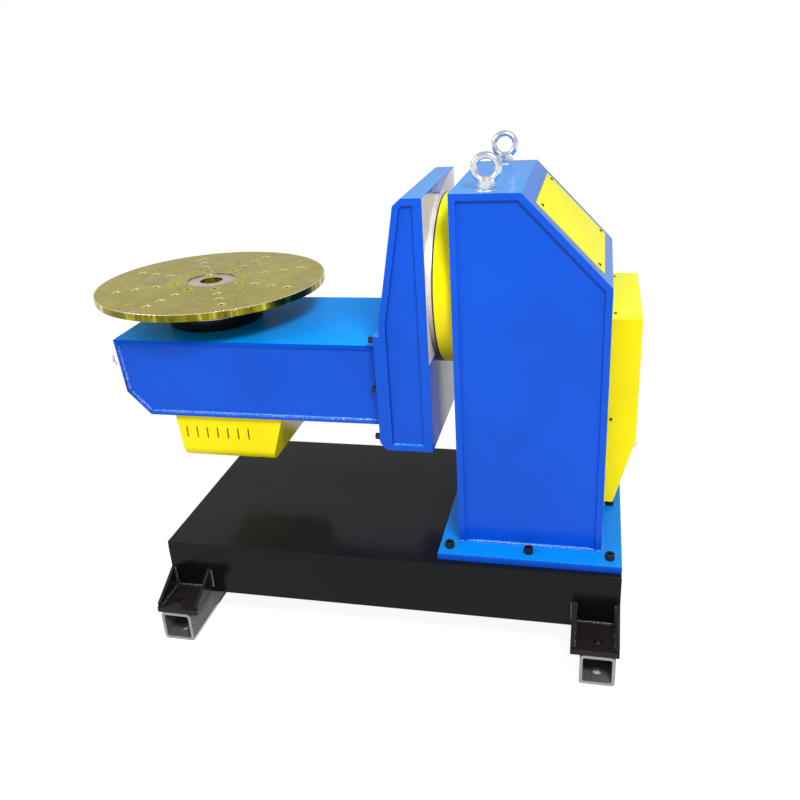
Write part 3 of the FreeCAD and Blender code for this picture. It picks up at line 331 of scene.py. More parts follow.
def plated_plate(name, colour, centre, bare_radius, rows, row_start, rings):
    """Yellow passivated zinc over a turned face: olive and gold with brown clouds, and pale pink clouds of
    painted reflection;
    its rim is darkened as painted shade with painted glints, and its broken top edge has a painted cream
    highlight.

    The middle, out to bare_radius, is rubbed to bare steel. Bright yellow rings of painted highlight circle
    the holes, which lie in rows from row_start on, at the radii in rings.
    """
    material, tree, out = tree_of(name)
    at, radius, lines = turned_rings(tree, "Z", centre, 0.0022)
    along = place(tree)
    cloud = noise(tree, along, 5.5, 5, 0.62, 0.8)
    patch = noise(tree, along, 15, 5, 0.66, 0.9)
    fine = noise(tree, along, 260, 2, 0.6)
    olive, gold, straw = tint(colour, 0.55), colour, tint(colour, 1.4)
    base = ramp(tree, cloud, [(0.25, olive), (0.45, gold), (0.60, tint(colour, 0.82)), (0.80, straw)])
    base = blend_colour(tree, grade(tree, patch, 0.50, 0.62, 0.0, 0.65), base, (0.50, 0.35, 0.17))
    # pale pink-cream clouds: painted reflection
    base = blend_colour(tree, grade(tree, patch, 0.60, 0.68, 0.0, 0.75), base, (0.90, 0.74, 0.60))
    base = blend_colour(tree, grade(tree, patch, 0.30, 0.42, 0.45, 0.0), base, (0.30, 0.34, 0.03))
    ring_tone = noise(tree, add(tree, "ShaderNodeCombineXYZ", {"X": radius}).outputs[0], 42, 4, 0.7)
    base = blend_colour(tree, grade(tree, ring_tone, 0.35, 0.7, 0.0, 0.3), base, tint(colour, 0.62))
    parts = add(tree, "ShaderNodeSeparateXYZ", {"Vector": at})
    turn = arithmetic(tree, "ARCTAN2", parts.outputs["Y"], parts.outputs["X"])
    turn = arithmetic(tree, "MULTIPLY", arithmetic(tree, "SUBTRACT", turn, row_start), rows)
    off_row = arithmetic(tree, "SUBTRACT", 1.0, arithmetic(tree, "COSINE", turn))
    off_row = arithmetic(tree, "MULTIPLY", off_row, arithmetic(tree, "MULTIPLY", radius, radius))
    off_row = arithmetic(tree, "DIVIDE", off_row, rows * rows / 2)
    # painted highlights: bright yellow rings round the holes, where the hole edges catch light
    hole_glints = None
    for ring in rings:
        off_ring = arithmetic(tree, "ABSOLUTE", arithmetic(tree, "SUBTRACT", radius, ring))
        off_ring = arithmetic(tree, "POWER", off_ring, 2.0)
        hole_glint = grade(tree, arithmetic(tree, "ADD", off_row, off_ring), 0.00009, 0.00042, 1.0, 0.0)
        hole_glints = hole_glint if hole_glints is None else arithmetic(tree, "MAXIMUM", hole_glints, hole_glint)
    hole_glints = arithmetic(tree, "MULTIPLY", hole_glints, grade(tree, cloud, 0.30, 0.55, 0.55, 1.0))
    base = blend_colour(tree, hole_glints, base, (1.0, 0.98, 0.03))
    worn = arithmetic(tree, "ADD", radius, arithmetic(tree, "MULTIPLY", patch, 0.09))
    base = blend_colour(tree, grade(tree, worn, bare_radius + 0.03, bare_radius + 0.06, 0.95, 0.0), base,
                        (0.88, 0.76, 0.70))
    up = add(tree, "ShaderNodeSeparateXYZ",
             {"Vector": add(tree, "ShaderNodeNewGeometry").outputs["Normal"]}).outputs["Z"]
    # rim and faces that don't face up: darkened as painted shade, with painted yellow-green glints in streaks
    streak = noise(tree, place(tree, size=(1, 1, 0.1)), 24, 3, 0.6)
    side = ramp(tree, streak, [(0.35, tint(colour, 0.16)), (0.55, tint(colour, 0.42)),
                               (0.68, (0.85, 0.84, 0.10))])
    base = blend_colour(tree, grade(tree, up, 0.1, 0.3, 1.0, 0.0), base, side)
    # painted highlight: cream on the bevelled top edge
    edge = arithmetic(tree, "MULTIPLY", grade(tree, up, 0.12, 0.3, 0.0, 1.0),
                      grade(tree, up, 0.9, 0.97, 1.0, 0.0))
    base = blend_colour(tree, edge, base, (1.0, 0.95, 0.84))
    shine = grade(tree, arithmetic(tree, "ADD", cloud, arithmetic(tree, "MULTIPLY", ring_tone, 0.6)),
                  0.5, 1.1, 0.14, 0.34)
    normal = bump(tree, lines, 0.00009, 0.7)
    normal = bump(tree, fine, 0.00008, 0.5, normal)
    shader = add(tree, "ShaderNodeBsdfPrincipled", {
        "Base Color": base, "Metallic": 1.0, "Roughness": shine, "Normal": normal, "Anisotropic": 0.45})
    tree.links.new(shader.outputs[0], out.inputs["Surface"])
    return material


def grained_metal(name, colour, grain, rough, depth, metallic=1.0, blotch=0.15):
    """Zinc, black oxide, castings and ground steel: cloudy tone over a fine grain."""
    material, tree, out = tree_of(name)
    at = place(tree)
    cloud = noise(tree, at, grain * 0.12, 4, 0.6, 0.3)
    fine = noise(tree, at, grain, 3, 0.6)
    base = ramp(tree, cloud, [(0.25, tint(colour, 1 - blotch)), (0.55, colour),
                              (0.85, tint(colour, 1 + blotch))])
    base = blend_colour(tree, grade(tree, fine, 0.55, 0.8, 0.0, 0.3), base, tint(colour, 0.6))
    shine = grade(tree, arithmetic(tree, "ADD", cloud, fine), 0.7, 1.35, rough[0], rough[1])
    normal = bump(tree, fine, depth, 0.6)
    shader = add(tree, "ShaderNodeBsdfPrincipled", {
        "Base Color": base, "Metallic": metallic, "Roughness": shine, "Normal": normal})
    tree.links.new(shader.outputs[0], out.inputs["Surface"])
    return material


def rolled_tube(name, colour, end):
    """Primed hot-rolled tube: flat grey, rubbed brighter in streaks, and bright where it's cut at y = end."""
    material, tree, out = tree_of(name)
    at = place(tree)
    streak = noise(tree, place(tree, size=(9, 1.2, 9)), 9, 4, 0.6)
    cloud = noise(tree, at, 7, 5, 0.6, 0.5)
    fine = noise(tree, at, 240, 3, 0.6)
    base = ramp(tree, cloud, [(0.25, tint(colour, 0.62)), (0.5, colour), (0.8, tint(colour, 1.6))])
    base = blend_colour(tree, grade(tree, streak, 0.45, 0.75, 0.0, 0.4), base, tint(colour, 2.1))
    base = blend_colour(tree, grade(tree, fine, 0.62, 0.75, 0.0, 0.3), base, tint(colour, 0.4))
    ends = add(tree, "ShaderNodeSeparateXYZ", {"Vector": at}).outputs["Y"]
    cut = grade(tree, arithmetic(tree, "ABSOLUTE", ends), end - 0.0008, end - 0.0003, 0.0, 0.8)
    base = blend_colour(tree, cut, base, (0.36, 0.345, 0.33))
    shine = grade(tree, arithmetic(tree, "ADD", cloud, fine), 0.7, 1.35, 0.42, 0.66)
    normal = bump(tree, fine, 0.00025, 0.6)
    normal = bump(tree, streak, 0.0006, 0.3, normal)
    shader = add(tree, "ShaderNodeBsdfPrincipled", {
        "Base Color": base, "Metallic": 0.25, "Roughness": shine, "Normal": normal})
    tree.links.new(shader.outputs[0], out.inputs["Surface"])
    return material


def rubber(name):
    """Black nitrile of the seals."""
    material, tree, out = tree_of(name)
    at = place(tree)
    fine = noise(tree, at, 300, 3, 0.6)
    cloud = noise(tree, at, 25, 3, 0.6)
    base = ramp(tree, cloud, [(0.3, (0.012, 0.012, 0.013)), (0.8, (0.03, 0.029, 0.028))])
    shine = grade(tree, fine, 0.3, 0.75, 0.42, 0.62)
    shader = add(tree, "ShaderNodeBsdfPrincipled", {
        "Base Color": base, "Roughness": shine, "Normal": bump(tree, fine, 0.0001, 0.5)})
    tree.links.new(shader.outputs[0], out.inputs["Surface"])
    return material


# ---------------------------------------------------------------- mesh helpers
def new_piece(name, mesh, body, material, smooth_angle=40.0):
    """Puts a mesh into the scene as a piece that moves with a body."""
    piece = bpy.data.objects.new(name, mesh)
    bpy.context.scene.collection.objects.link(piece)
    mesh.materials.append(material)
    mesh.shade_smooth()
    mesh.set_sharp_from_angle(angle=math.radians(smooth_angle))
    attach(piece, body)
    return piece


def mesh_from(name, build):
    """Mesh filled by build(bmesh), with its faces turned outward."""
    work = bmesh.new()
    build(work)
    bmesh.ops.recalc_face_normals(work, faces=work.faces)
    mesh = bpy.data.meshes.new(name)
    work.to_mesh(mesh)
    work.free()
    return mesh


def skin_rings(work, rings, closed=False):
    """Faces between successive rings of vertices, and caps on an open run."""
    count = len(rings[0])
    pairs = list(zip(rings, rings[1:])) + ([(rings[-1], rings[0])] if closed else [])
    for first, second in pairs:
        for i in range(count):
            j = (i + 1) % count
            work.faces.new((first[i], first[j], second[j], second[i]))
    if not closed:
        work.faces.new(list(reversed(rings[0])))
        work.faces.new(rings[-1])


def lay_bead(work, start, end, outward, radius, ripple):
    """One weld bead from start to end: overlapping ripples, domed towards outward.

    With no ripple it's a plain rod, for a corner that has been ground round.
    """
    run = end - start
    along = run.normalized()
    outward = outward.normalized()
    side = along.cross(outward).normalized()
    steps = max(6, int(run.length / ripple * 4)) if ripple else 1
    rings = []
    for i in range(steps + 1):
        share = i / steps
        phase = share * run.length / (ripple or 1.0)
        swell = 1.0
        if ripple:
            swell += 0.15 * math.cos(2 * math.pi * phase)
            swell += 0.07 * math.sin(1.7 * phase) * math.cos(0.61 * phase)
            swell *= min(1.0, 0.35 + 14 * min(share, 1 - share) * run.length / (run.length + 0.05))
        ring = []
        for k in range(8):
            turn = 2 * math.pi * k / 8
            rise = math.cos(turn)
            lag = 0.32 * (ripple or 0.0) * max(0.0, rise)
            point = (start + along * (share * run.length - lag * (0.5 - abs(share - 0.5)) * 2)
                     + outward * (rise * radius * swell) + side * (math.sin(turn) * radius * swell * 1.15))
            ring.append(work.verts.new(point))
        rings.append(ring)
    skin_rings(work, rings)


def lay_flat(work, start, end, outward, half_width, rise):
    """A weld that has been ground flush: a low strip over the seam from start to end."""
    outward = outward.normalized()
    side = (end - start).normalized().cross(outward)
    rings = []
    for at in (start, end):
        rings.append([work.verts.new(at + side * (half_width * across) + outward * up) for across, up in
                      ((-1, -0.002), (-1, 0), (-0.7, rise), (0.7, rise), (1, 0), (1, -0.002))])
    skin_rings(work, rings)


def lay_round_bead(work, centre, axis, ring_radius, radius, ripple):
    """A weld bead that closes on itself round a boss or ring."""
    axis = axis.normalized()
    first = axis.orthogonal().normalized()
    second = axis.cross(first)
    steps = max(24, int(2 * math.pi * ring_radius / ripple * 4))
    steps -= steps % 4
    rings = []
    for i in range(steps):
        turn = 2 * math.pi * i / steps
        swell = 1 + 0.13 * math.cos(math.pi * i / 2)
        outward = first * math.cos(turn) + second * math.sin(turn)
        rings.append([work.verts.new(centre + outward * (ring_radius + math.cos(a) * radius * swell)
                                     + axis * (math.sin(a) * radius * swell))
                      for a in (2 * math.pi * k / 8 for k in range(8))])
    skin_rings(work, rings, closed=True)


def lathe(work, profile, centre, axis, steps=128):
    """Closed ring swept from (radius, height) points about an axis."""
    axis = axis.normalized()
    first = X if abs(axis.x) < 0.5 else Y
    second = axis.cross(first)
    rings = []
    for i in range(steps):
        turn = 2 * math.pi * i / steps
        outward = first * math.cos(turn) + second * math.sin(turn)
        rings.append([work.verts.new(centre + outward * r + axis * h) for r, h in profile])
    skin_rings(work, rings, closed=True)


def spindle(work, profile, centre, axis, steps=24):
    """Solid of revolution from (radius, height) points, closed at both ends."""
    axis = axis.normalized()
    first = X if abs(axis.x) < 0.5 else Y
    second = axis.cross(first)
    rings = []
    for r, h in profile:
        rings.append([work.verts.new(centre + axis * h + (first * math.cos(a) + second * math.sin(a)) * r)
                      for a in (2 * math.pi * i / steps for i in range(steps))])
    skin_rings(work, rings)


def ease_edges(piece, width, segments=2):
    """Breaks a CAD piece's sharp edges, without touching its mesh."""
    joined = piece.modifiers.new("joined_edges", "WELD")
    joined.merge_threshold = 0.00001
    flat = piece.modifiers.new("flat_faces", "DECIMATE")
    flat.decimate_type = "DISSOLVE"
    flat.angle_limit = math.radians(0.6)
    broken = piece.modifiers.new("broken_edges", "BEVEL")
    broken.width = width
    broken.segments = segments
    broken.limit_method = "ANGLE"
    broken.angle_limit = math.radians(42)
    broken.use_clamp_overlap = True
    broken.harden_normals = False
    evened = piece.modifiers.new("even_shading", "WEIGHTED_NORMAL")
    evened.keep_sharp = False


def settings():
    scene = bpy.context.scene
    return scene.positioner_finishes, scene.positioner_sizes, scene.positioner_stage


FINISHES = {}


def make_finishes():
    """All finishes, by the name of the slot they belong to."""
    colours = settings()[0]
    low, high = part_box("tilt_flange")
    tilt_centre = tuple((low + high) / 2)
    low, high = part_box("faceplate")
    plate_centre = tuple((low + high) / 2)
    blue, yellow, black = tuple(colours.blue), tuple(colours.yellow), tuple(colours.black)
    # lighter blue painted on faces that face up, as top light
    top_light_blue = (blue[0], min(1.0, blue[1] * 3.4), min(1.0, blue[2] * 1.4))
    face_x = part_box("upright_face_plate")[1].x
    # The lighter tone each enamel takes on faces that face up is painted top light.
    FINISHES.update({
        "column_blue": gloss_paint("column_blue_enamel", blue, top_light_tone=top_light_blue),
        # the pale band on the upright's face is a painted reflection of the flange, on an unpainted seat
        "blue_face": gloss_paint("upright_face_enamel", blue, top_light_tone=top_light_blue, rough=(0.08, 0.16),
                                 bare=(face_x, tilt_centre[2] - 0.2, tilt_centre[2] + 0.273,
                                       (0.96, 0.90, 0.84))),
        "blue_top": gloss_paint("beam_top_enamel", blue, top_light_tone=(0.0, 0.33, 1.0), coat=0.0, ior=1.07),
        "yellow_top": gloss_paint("access_cover_enamel", yellow, top_light_tone=(1.0, 0.99, 0.0), rough=(0.2, 0.34),
                                  coat=0.02, ior=1.09),
        # the pale specks on these weld beads are painted glints
        "blue_weld": gloss_paint("blue_enamel_on_welds", tint(blue, 1.1), top_light_tone=top_light_blue, rough=(0.05, 0.14),
                                 specks=(0.62, 0.76, 0.95), peel=7.0, coat=1.0, dirt_and_glint_threshold=0.585),
        "cover_yellow": gloss_paint("cover_yellow_enamel", yellow, top_light_tone=(1.0, 0.98, 0.0), rough=(0.2, 0.34)),
        "frame_black": gloss_paint("plinth_black_enamel", black, top_light_tone=(0.0075, 0.008, 0.011),
                                   specks=(0.05, 0.05, 0.055), rough=(0.08, 0.22), peel=1.3, coat=0.06),
        "foot_black": gloss_paint("foot_plate_enamel", (0.008, 0.007, 0.007), top_light_tone=(0.014, 0.011, 0.010),
                                  specks=(0.16, 0.14, 0.13), rough=(0.16, 0.36), peel=4.0, coat=0.2,
                                  dirt_and_glint_threshold=0.66),
        # the pale specks on these weld beads are painted glints
        "black_weld": gloss_paint("black_enamel_on_welds", (0.012, 0.011, 0.011), top_light_tone=(0.02, 0.018, 0.017),
                                  specks=(0.55, 0.52, 0.50), rough=(0.05, 0.16), peel=7.0, coat=1.0,
                                  dirt_and_glint_threshold=0.60),
        "plated_screws": grained_metal("yellow_zinc_screws", (0.62, 0.56, 0.10), 220, (0.22, 0.38), 0.0001),
        "fork_steel": rolled_tube("foot_tube_primer", tuple(colours.tube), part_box("fork_tubes")[1].y),
        "plated_gold": plated_plate("faceplate_yellow_zinc", tuple(colours.plating), plate_centre, HUB_R,
                                    FACEPLATE_ROWS, FACEPLATE_ROW_START, FACEPLATE_RINGS),
        # the tone given for undersides darkens the flange's lower side as painted shade
        "machined_steel": turned_steel("turned_flange_steel", tuple(colours.machined), "X", tilt_centre,
                                       rough=(0.26, 0.42), underside_shade=(0.95, 0.78, 0.70), metallic=0.5),
        "hub_steel": turned_steel("turned_hub_steel", (0.95, 0.84, 0.76), "Z", plate_centre, metallic=0.5),
        "bearing_steel": grained_metal("ground_bearing_steel", (0.52, 0.53, 0.55), 180, (0.18, 0.32),
                                       0.00005),
        "zinc": grained_metal("bright_zinc", tuple(colours.zinc), 90, (0.14, 0.30), 0.00025, blotch=0.10),
        "black_bolts": grained_metal("black_oxide", tuple(colours.oxide), 260, (0.30, 0.48), 0.00006,
                                     metallic=0.55, blotch=0.35),
        "gearbox_grey": grained_metal("gearbox_casting", (0.42, 0.43, 0.45), 200, (0.36, 0.55), 0.0003),
        "motor_black": grained_metal("motor_casting_paint", (0.028, 0.028, 0.031), 170, (0.38, 0.55), 0.0003,
                                     metallic=0.0, blotch=0.25),
        "riser_dark": gloss_paint("riser_dark_paint", (0.010, 0.011, 0.014), rough=(0.12, 0.25)),
        "brass": grained_metal("brush_holder_brass", (0.62, 0.44, 0.16), 220, (0.24, 0.40), 0.00008),
        "carbon": grained_metal("brush_carbon", (0.03, 0.03, 0.032), 420, (0.45, 0.62), 0.0001, metallic=0.1,
                                blotch=0.3),
        "seal": rubber("seal_rubber"),
    })


# ---------------------------------------------------------------- operators
OWN_FINISH = {"table_hub": "hub_steel", "anchor_plates": "foot_black", "foot_gussets": "foot_black",
              "upright_face_plate": "blue_face", "faceplate_bolts": "plated_screws",
              "beam_top_plate": "blue_top", "access_cover": "yellow_top"}
FINE_NODES = ("tilt_bearing_gear_ring", "table_bearing_gear_ring", "tilt_pinion", "table_pinion",
              "tilt_bearing_balls", "table_bearing_balls", "tilt_bearing_outer_ring", "earth_brush")
SCREW_NODES = ("column_bolts", "joint_bolts", "cover_screws", "motor_tray_screws", "tilt_flange_bolts",
               "tilt_drive_bolts", "table_bearing_bolts", "table_drive_bolts", "faceplate_bolts")
SHEET_NODES = ("access_cover", "rear_cover", "motor_tray", "tilt_guard_ring", "rear_cover_lock")


class POSITIONER_OT_finish(bpy.types.Operator):
    """Paint, plate or leave bare every part of the frame, and break its sharp edges"""
    bl_idname = "positioner.finish"
    bl_label = "Finish the frame"

    def execute(self, context):
        make_finishes()
        sizes = settings()[1]
        slots = {part["node"]: part["material_slot"] for part in frame["record"]["subparts"]}
        for name, piece in NODES.items():
            finish = FINISHES[OWN_FINISH.get(name, slots[name])]
            for slot in piece.material_slots:
                slot.material = finish
            if name in FINE_NODES:
                continue
            width = sizes.plate_edge
            if name in SCREW_NODES:
                width = sizes.screw_edge
            elif name in SHEET_NODES:
                width = sizes.sheet_edge
            elif name == "faceplate":
                width = sizes.plate_edge * 1.6
            ease_edges(piece, width)
        return {"FINISHED"}


def straight_beads(name, body, slot, runs, radius, finish=None, ripple=None):
    """One piece of several straight beads, each (start, end, outward)."""
    ripple = settings()[1].ripple if ripple is None else ripple

    def build(work):
        for start, end, outward in runs:
            lay_bead(work, Vector(start), Vector(end), Vector(outward), radius, ripple)
    return new_piece(name, mesh_from(name, build), body, FINISHES[finish or slot], 60)


class POSITIONER_OT_column_welds(bpy.types.Operator):
    """Weld beads round the foot of the column and inside its lips"""
    bl_idname = "positioner.column_welds"
    bl_label = "Column welds"

    def execute(self, context):
        radius = settings()[1].bead
        side_low, side_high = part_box("column_side_plates")
        front_low, front_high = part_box("column_front_plate")
        back_low, back_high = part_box("column_back_plate")
        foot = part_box("column_flange")[1].z
        runs, lips = [], []
        for sign, side, edge in ((-1, side_low.y, front_low.y), (1, side_high.y, front_high.y)):
            out = (0, sign, 1)
            runs.append(((front_high.x + 0.002, side, foot), (back_low.x - 0.002, side, foot), out))
            runs.append(((front_low.x, edge, foot), (front_high.x, edge, foot), out))
            runs.append(((back_low.x, edge, foot), (back_high.x, edge, foot), out))
            for x, lean in ((front_high.x, 1), (back_low.x, -1)):
                top = front_high.z - 0.022 if lean > 0 else back_high.z - 0.012
                lips.append(((x, side, foot + 0.006), (x, side, top), (lean, sign, 0)))
        runs.append(((front_low.x, front_low.y, foot), (front_low.x, front_high.y, foot), (-1, 0, 1)))
        runs.append(((back_high.x, back_low.y, foot), (back_high.x, back_high.y, foot), (1, 0, 1)))
        straight_beads("column_foot_welds", "base", "column_blue", runs, radius, "blue_weld")
        straight_beads("column_lip_welds", "base", "column_blue", lips, radius * 0.42)

        eyes_low, eyes_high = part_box("column_lifting_eyes")
        top = front_high.z
        middle = (eyes_low + eyes_high) / 2
        reach = (eyes_high.y - eyes_low.y) / 2 - EYE_SPACER_R

        def build(work):
            for sign in (-1, 1):
                spacer = Vector((middle.x, middle.y + sign * reach, top))
                lay_round_bead(work, spacer, Z, EYE_SPACER_R + 0.0005, 0.0030, 0.006)
        new_piece("eye_spacer_welds", mesh_from("eye_spacer_welds", build), "base",
                  FINISHES["zinc"], 60)

        def dress(work):
            inner_x, inner_z = side_low.x, side_high.z
            for y, out in ((front_low.y, -Y), (front_high.y, Y)):
                lay_flat(work, Vector((front_low.x + 0.002, y, top - 0.002)),
                         Vector((inner_x, y, inner_z)), out, 0.0032, 0.00025)
            lay_bead(work, Vector((front_low.x + 0.0022, front_low.y + 0.001, top - 0.0022)),
                     Vector((front_low.x + 0.0022, front_high.y - 0.001, top - 0.0022)), Vector((-1, 0, 1)),
                     0.0024, 0.0)
        new_piece("column_dressed_seams", mesh_from("column_dressed_seams", dress), "base",
                  FINISHES["column_blue"], 50)
        return {"FINISHED"}


class POSITIONER_OT_arm_welds(bpy.types.Operator):
    """Weld beads along the beam's lips, at its end flange and inside the upright's lips"""
    bl_idname = "positioner.arm_welds"
    bl_label = "Arm welds"

    def execute(self, context):
        radius = settings()[1].bead
        side_low, side_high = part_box("beam_side_plates")
        bottom_low, bottom_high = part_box("beam_bottom_plate")
        end_low, end_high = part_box("beam_end_plates")
        top_low, top_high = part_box("beam_top_plate")
        flange_low, flange_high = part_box("beam_flange")
        thick = bottom_high.z - bottom_low.z
        lean = (bottom_low.x - TOE_TOP_X) / (TOE_TOP_Z - bottom_low.z)
        runs, flange_runs = [], []
        for sign, side, edge in ((-1, side_low.y, bottom_low.y), (1, side_high.y, bottom_high.y)):
            low = (bottom_low.x + thick * 0.4, side, bottom_high.z)
            high = (TOE_TOP_X + thick * 1.02, side, TOE_TOP_Z + 0.001)
            runs.append((low, (flange_low.x - 0.001, side, bottom_high.z), (0, sign, 1)))
            runs.append((low, high, (0.6, sign, 0.6 * lean)))
            runs.append((high, (end_low.x + thick, side, top_low.z - 0.004), (1, sign, 0)))
            flange_runs.append(((flange_low.x, side, bottom_high.z), (flange_low.x, side, top_low.z),
                                (-1, sign, 0)))
        flange_runs.append(((flange_low.x, top_low.y, top_high.z), (flange_low.x, top_high.y, top_high.z),
                            (-1, 0, 1)))
        flange_runs.append(((flange_low.x, top_low.y, bottom_low.z), (flange_low.x, top_high.y, bottom_low.z),
                            (-1, 0, -1)))
        straight_beads("beam_lip_welds", "arm", "column_blue", runs, radius * 0.95, "blue_weld")
        straight_beads("beam_flange_welds", "arm", "column_blue", flange_runs, radius * 0.8, "blue_weld")

        low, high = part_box("upright_side_plates")
        face_low, face_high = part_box("upright_face_plate")
        lips = []
        for sign, side in ((-1, low.y), (1, high.y)):
            lips.append(((face_low.x, side, low.z), (face_low.x, side, high.z), (-1, sign, 0)))
            lips.append(((low.x, side, low.z), (face_low.x, side, low.z), (0, sign, 1)))
        straight_beads("upright_lip_welds", "arm", "column_blue", lips, radius * 0.5, "blue_weld")

        def dress(work):
            x = face_low.x
            for y, out in ((face_low.y, -Y), (face_high.y, Y)):
                lay_flat(work, Vector((x, y, face_low.z + 0.001)), Vector((x, y, face_high.z - 0.001)), out,
                         0.0034, 0.00025)
            for z, out in ((face_low.z, -Z), (face_high.z, Z)):
                lay_flat(work, Vector((x, face_low.y + 0.001, z)), Vector((x, face_high.y - 0.001, z)), out,
                         0.0034, 0.00025)
        new_piece("upright_dressed_seams", mesh_from("upright_dressed_seams", dress), "arm",
                  FINISHES["column_blue"], 50)
        return {"FINISHED"}


class POSITIONER_OT_foot_welds(bpy.types.Operator):
    """Weld beads that hold the foot plates, gussets and tubes to the plinth"""
    bl_idname = "positioner.foot_welds"
    bl_label = "Foot welds"

    def execute(self, context):
        radius = settings()[1].bead
        plate_low, plate_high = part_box("anchor_plates")
        gusset_low, gusset_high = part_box("foot_gussets")
        wall_low, wall_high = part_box("base_side_plates")
        tube_low, tube_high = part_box("fork_tubes")
        tube_width = tube_high.z - tube_low.z
        runs = []
        for along in (-1, 1):
            outer = plate_high.x if along > 0 else plate_low.x
            inner = outer - along * FOOT_PLATE_WIDTH
            gusset = along * GUSSET_THICK
            tube_outer = tube_high.x if along > 0 else tube_low.x
            tube_inner = tube_outer - along * tube_width
            for sign, wall, tip in ((-1, wall_low.y, plate_low.y), (1, wall_high.y, plate_high.y)):
                foot, crest = plate_high.z, gusset_high.z - 0.004
                runs.append(((inner + gusset, wall, foot), (outer - gusset, wall, foot), (0, sign, 1)))
                for x, lean in ((outer - gusset, -along), (inner + gusset, along)):
                    runs.append(((x, wall + sign * 0.002, foot), (x, tip - sign * 0.012, foot), (lean, 0, 1)))
                    runs.append(((x, wall, foot), (x, wall, crest), (lean, sign, 0)))
                runs.append(((inner, wall, foot), (inner, wall, crest), (-along, sign, 0)))
                for x, lean in ((tube_outer, along), (tube_inner, -along)):
                    runs.append(((x, wall, tube_high.z), (x, tip - sign * 0.004, tube_high.z), (lean, 0, -1)))
        straight_beads("foot_welds", "base", "frame_black", runs, radius * 0.8, "black_weld")
        return {"FINISHED"}


class POSITIONER_OT_seals(bpy.types.Operator):
    """Rubber lips that close the gaps of the two slewing bearings"""
    bl_idname = "positioner.seals"
    bl_label = "Bearing seals"

    def execute(self, context):
        flange_low, flange_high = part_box("tilt_flange")
        guard_low, guard_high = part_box("tilt_guard_ring")
        centre = (flange_low + flange_high) / 2
        radius = (guard_high.z - guard_low.z) / 2
        gap = guard_low.x - flange_high.x
        start = Vector((guard_low.x, centre.y, centre.z))

        def tilt_lip(work):
            lathe(work, [(radius + 0.0008, 0.0018), (radius + 0.0008, -gap * 0.45), (radius, -gap * 0.8),
                         (radius - 0.0095, -gap * 0.55), (radius - 0.0095, 0.012), (radius - 0.0055, 0.012),
                         (radius - 0.0055, -0.0002), (radius - 0.0002, -0.0002), (radius - 0.0002, 0.0018)],
                  start, X, 192)
        new_piece("tilt_seal", mesh_from("tilt_seal", tilt_lip), "base", FINISHES["seal"])

        outer_low, outer_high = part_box("table_bearing_outer_ring")
        ring_low, ring_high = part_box("table_bearing_gear_ring")
        middle = (outer_low + outer_high) / 2
        inner_r = (ring_high.x - ring_low.x) / 2
        bore_r = inner_r + 0.003
        above = Vector((middle.x, middle.y, outer_high.z))

        def table_lip(work):
            lathe(work, [(bore_r + 0.004, 0.0), (bore_r + 0.0035, 0.0022), (bore_r + 0.0005, 0.0028),
                         (inner_r + 0.0008, 0.0012), (bore_r - 0.0008, -0.004), (bore_r + 0.0002, -0.006),
                         (bore_r + 0.0002, 0.0)], above, Z, 160)
        new_piece("table_seal", mesh_from("table_seal", table_lip), "arm", FINISHES["seal"])
        return {"FINISHED"}


class POSITIONER_OT_grease_nipples(bpy.types.Operator):
    """Grease nipples on the faceplate bearing"""
    bl_idname = "positioner.grease_nipples"
    bl_label = "Grease nipples"

    def execute(self, context):
        low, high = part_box("table_bearing_outer_ring")
        centre, radius = (low + high) / 2, (high.x - low.x) / 2
        nipple = [(0.0042, -0.003), (0.0052, -0.001), (0.0052, 0.0035), (0.0032, 0.0045), (0.0028, 0.008),
                  (0.0036, 0.010), (0.0036, 0.0115), (0.0022, 0.0135), (0.0012, 0.0140)]

        def build(work):
            for degrees in (200.0, 20.0):
                turn = math.radians(degrees)
                out = Vector((math.cos(turn), math.sin(turn), 0))
                spindle(work, nipple, Vector((centre.x, centre.y, centre.z - 0.010)) + out * radius, out, 16)
        new_piece("table_grease_nipples", mesh_from("table_grease_nipples", build), "arm",
                  FINISHES["brass"])
        return {"FINISHED"}


class POSITIONER_OT_stage(bpy.types.Operator):
    """Pale floor, even room light, two soft lamps and the camera"""
    bl_idname = "positioner.stage"
    bl_label = "Stage"

    def execute(self, context):
        stage = settings()[2]
        scene = context.scene
        scene.view_settings.view_transform = "Standard"
        lay_floor(tuple(stage.floor))
        light_room(stage.sky)
        low, high = CAD_BOX
        middle = (Vector(low) + Vector(high)) / 2
        hang_lamp("key_light", middle + Vector((1.7, -2.8, 3.2)), middle, 1.1, stage.key)
        hang_lamp("fill_light", middle + Vector((-2.6, -1.8, 2.2)), middle, 2.4, stage.fill)
        aim_camera(stage.lens)
        return {"FINISHED"}


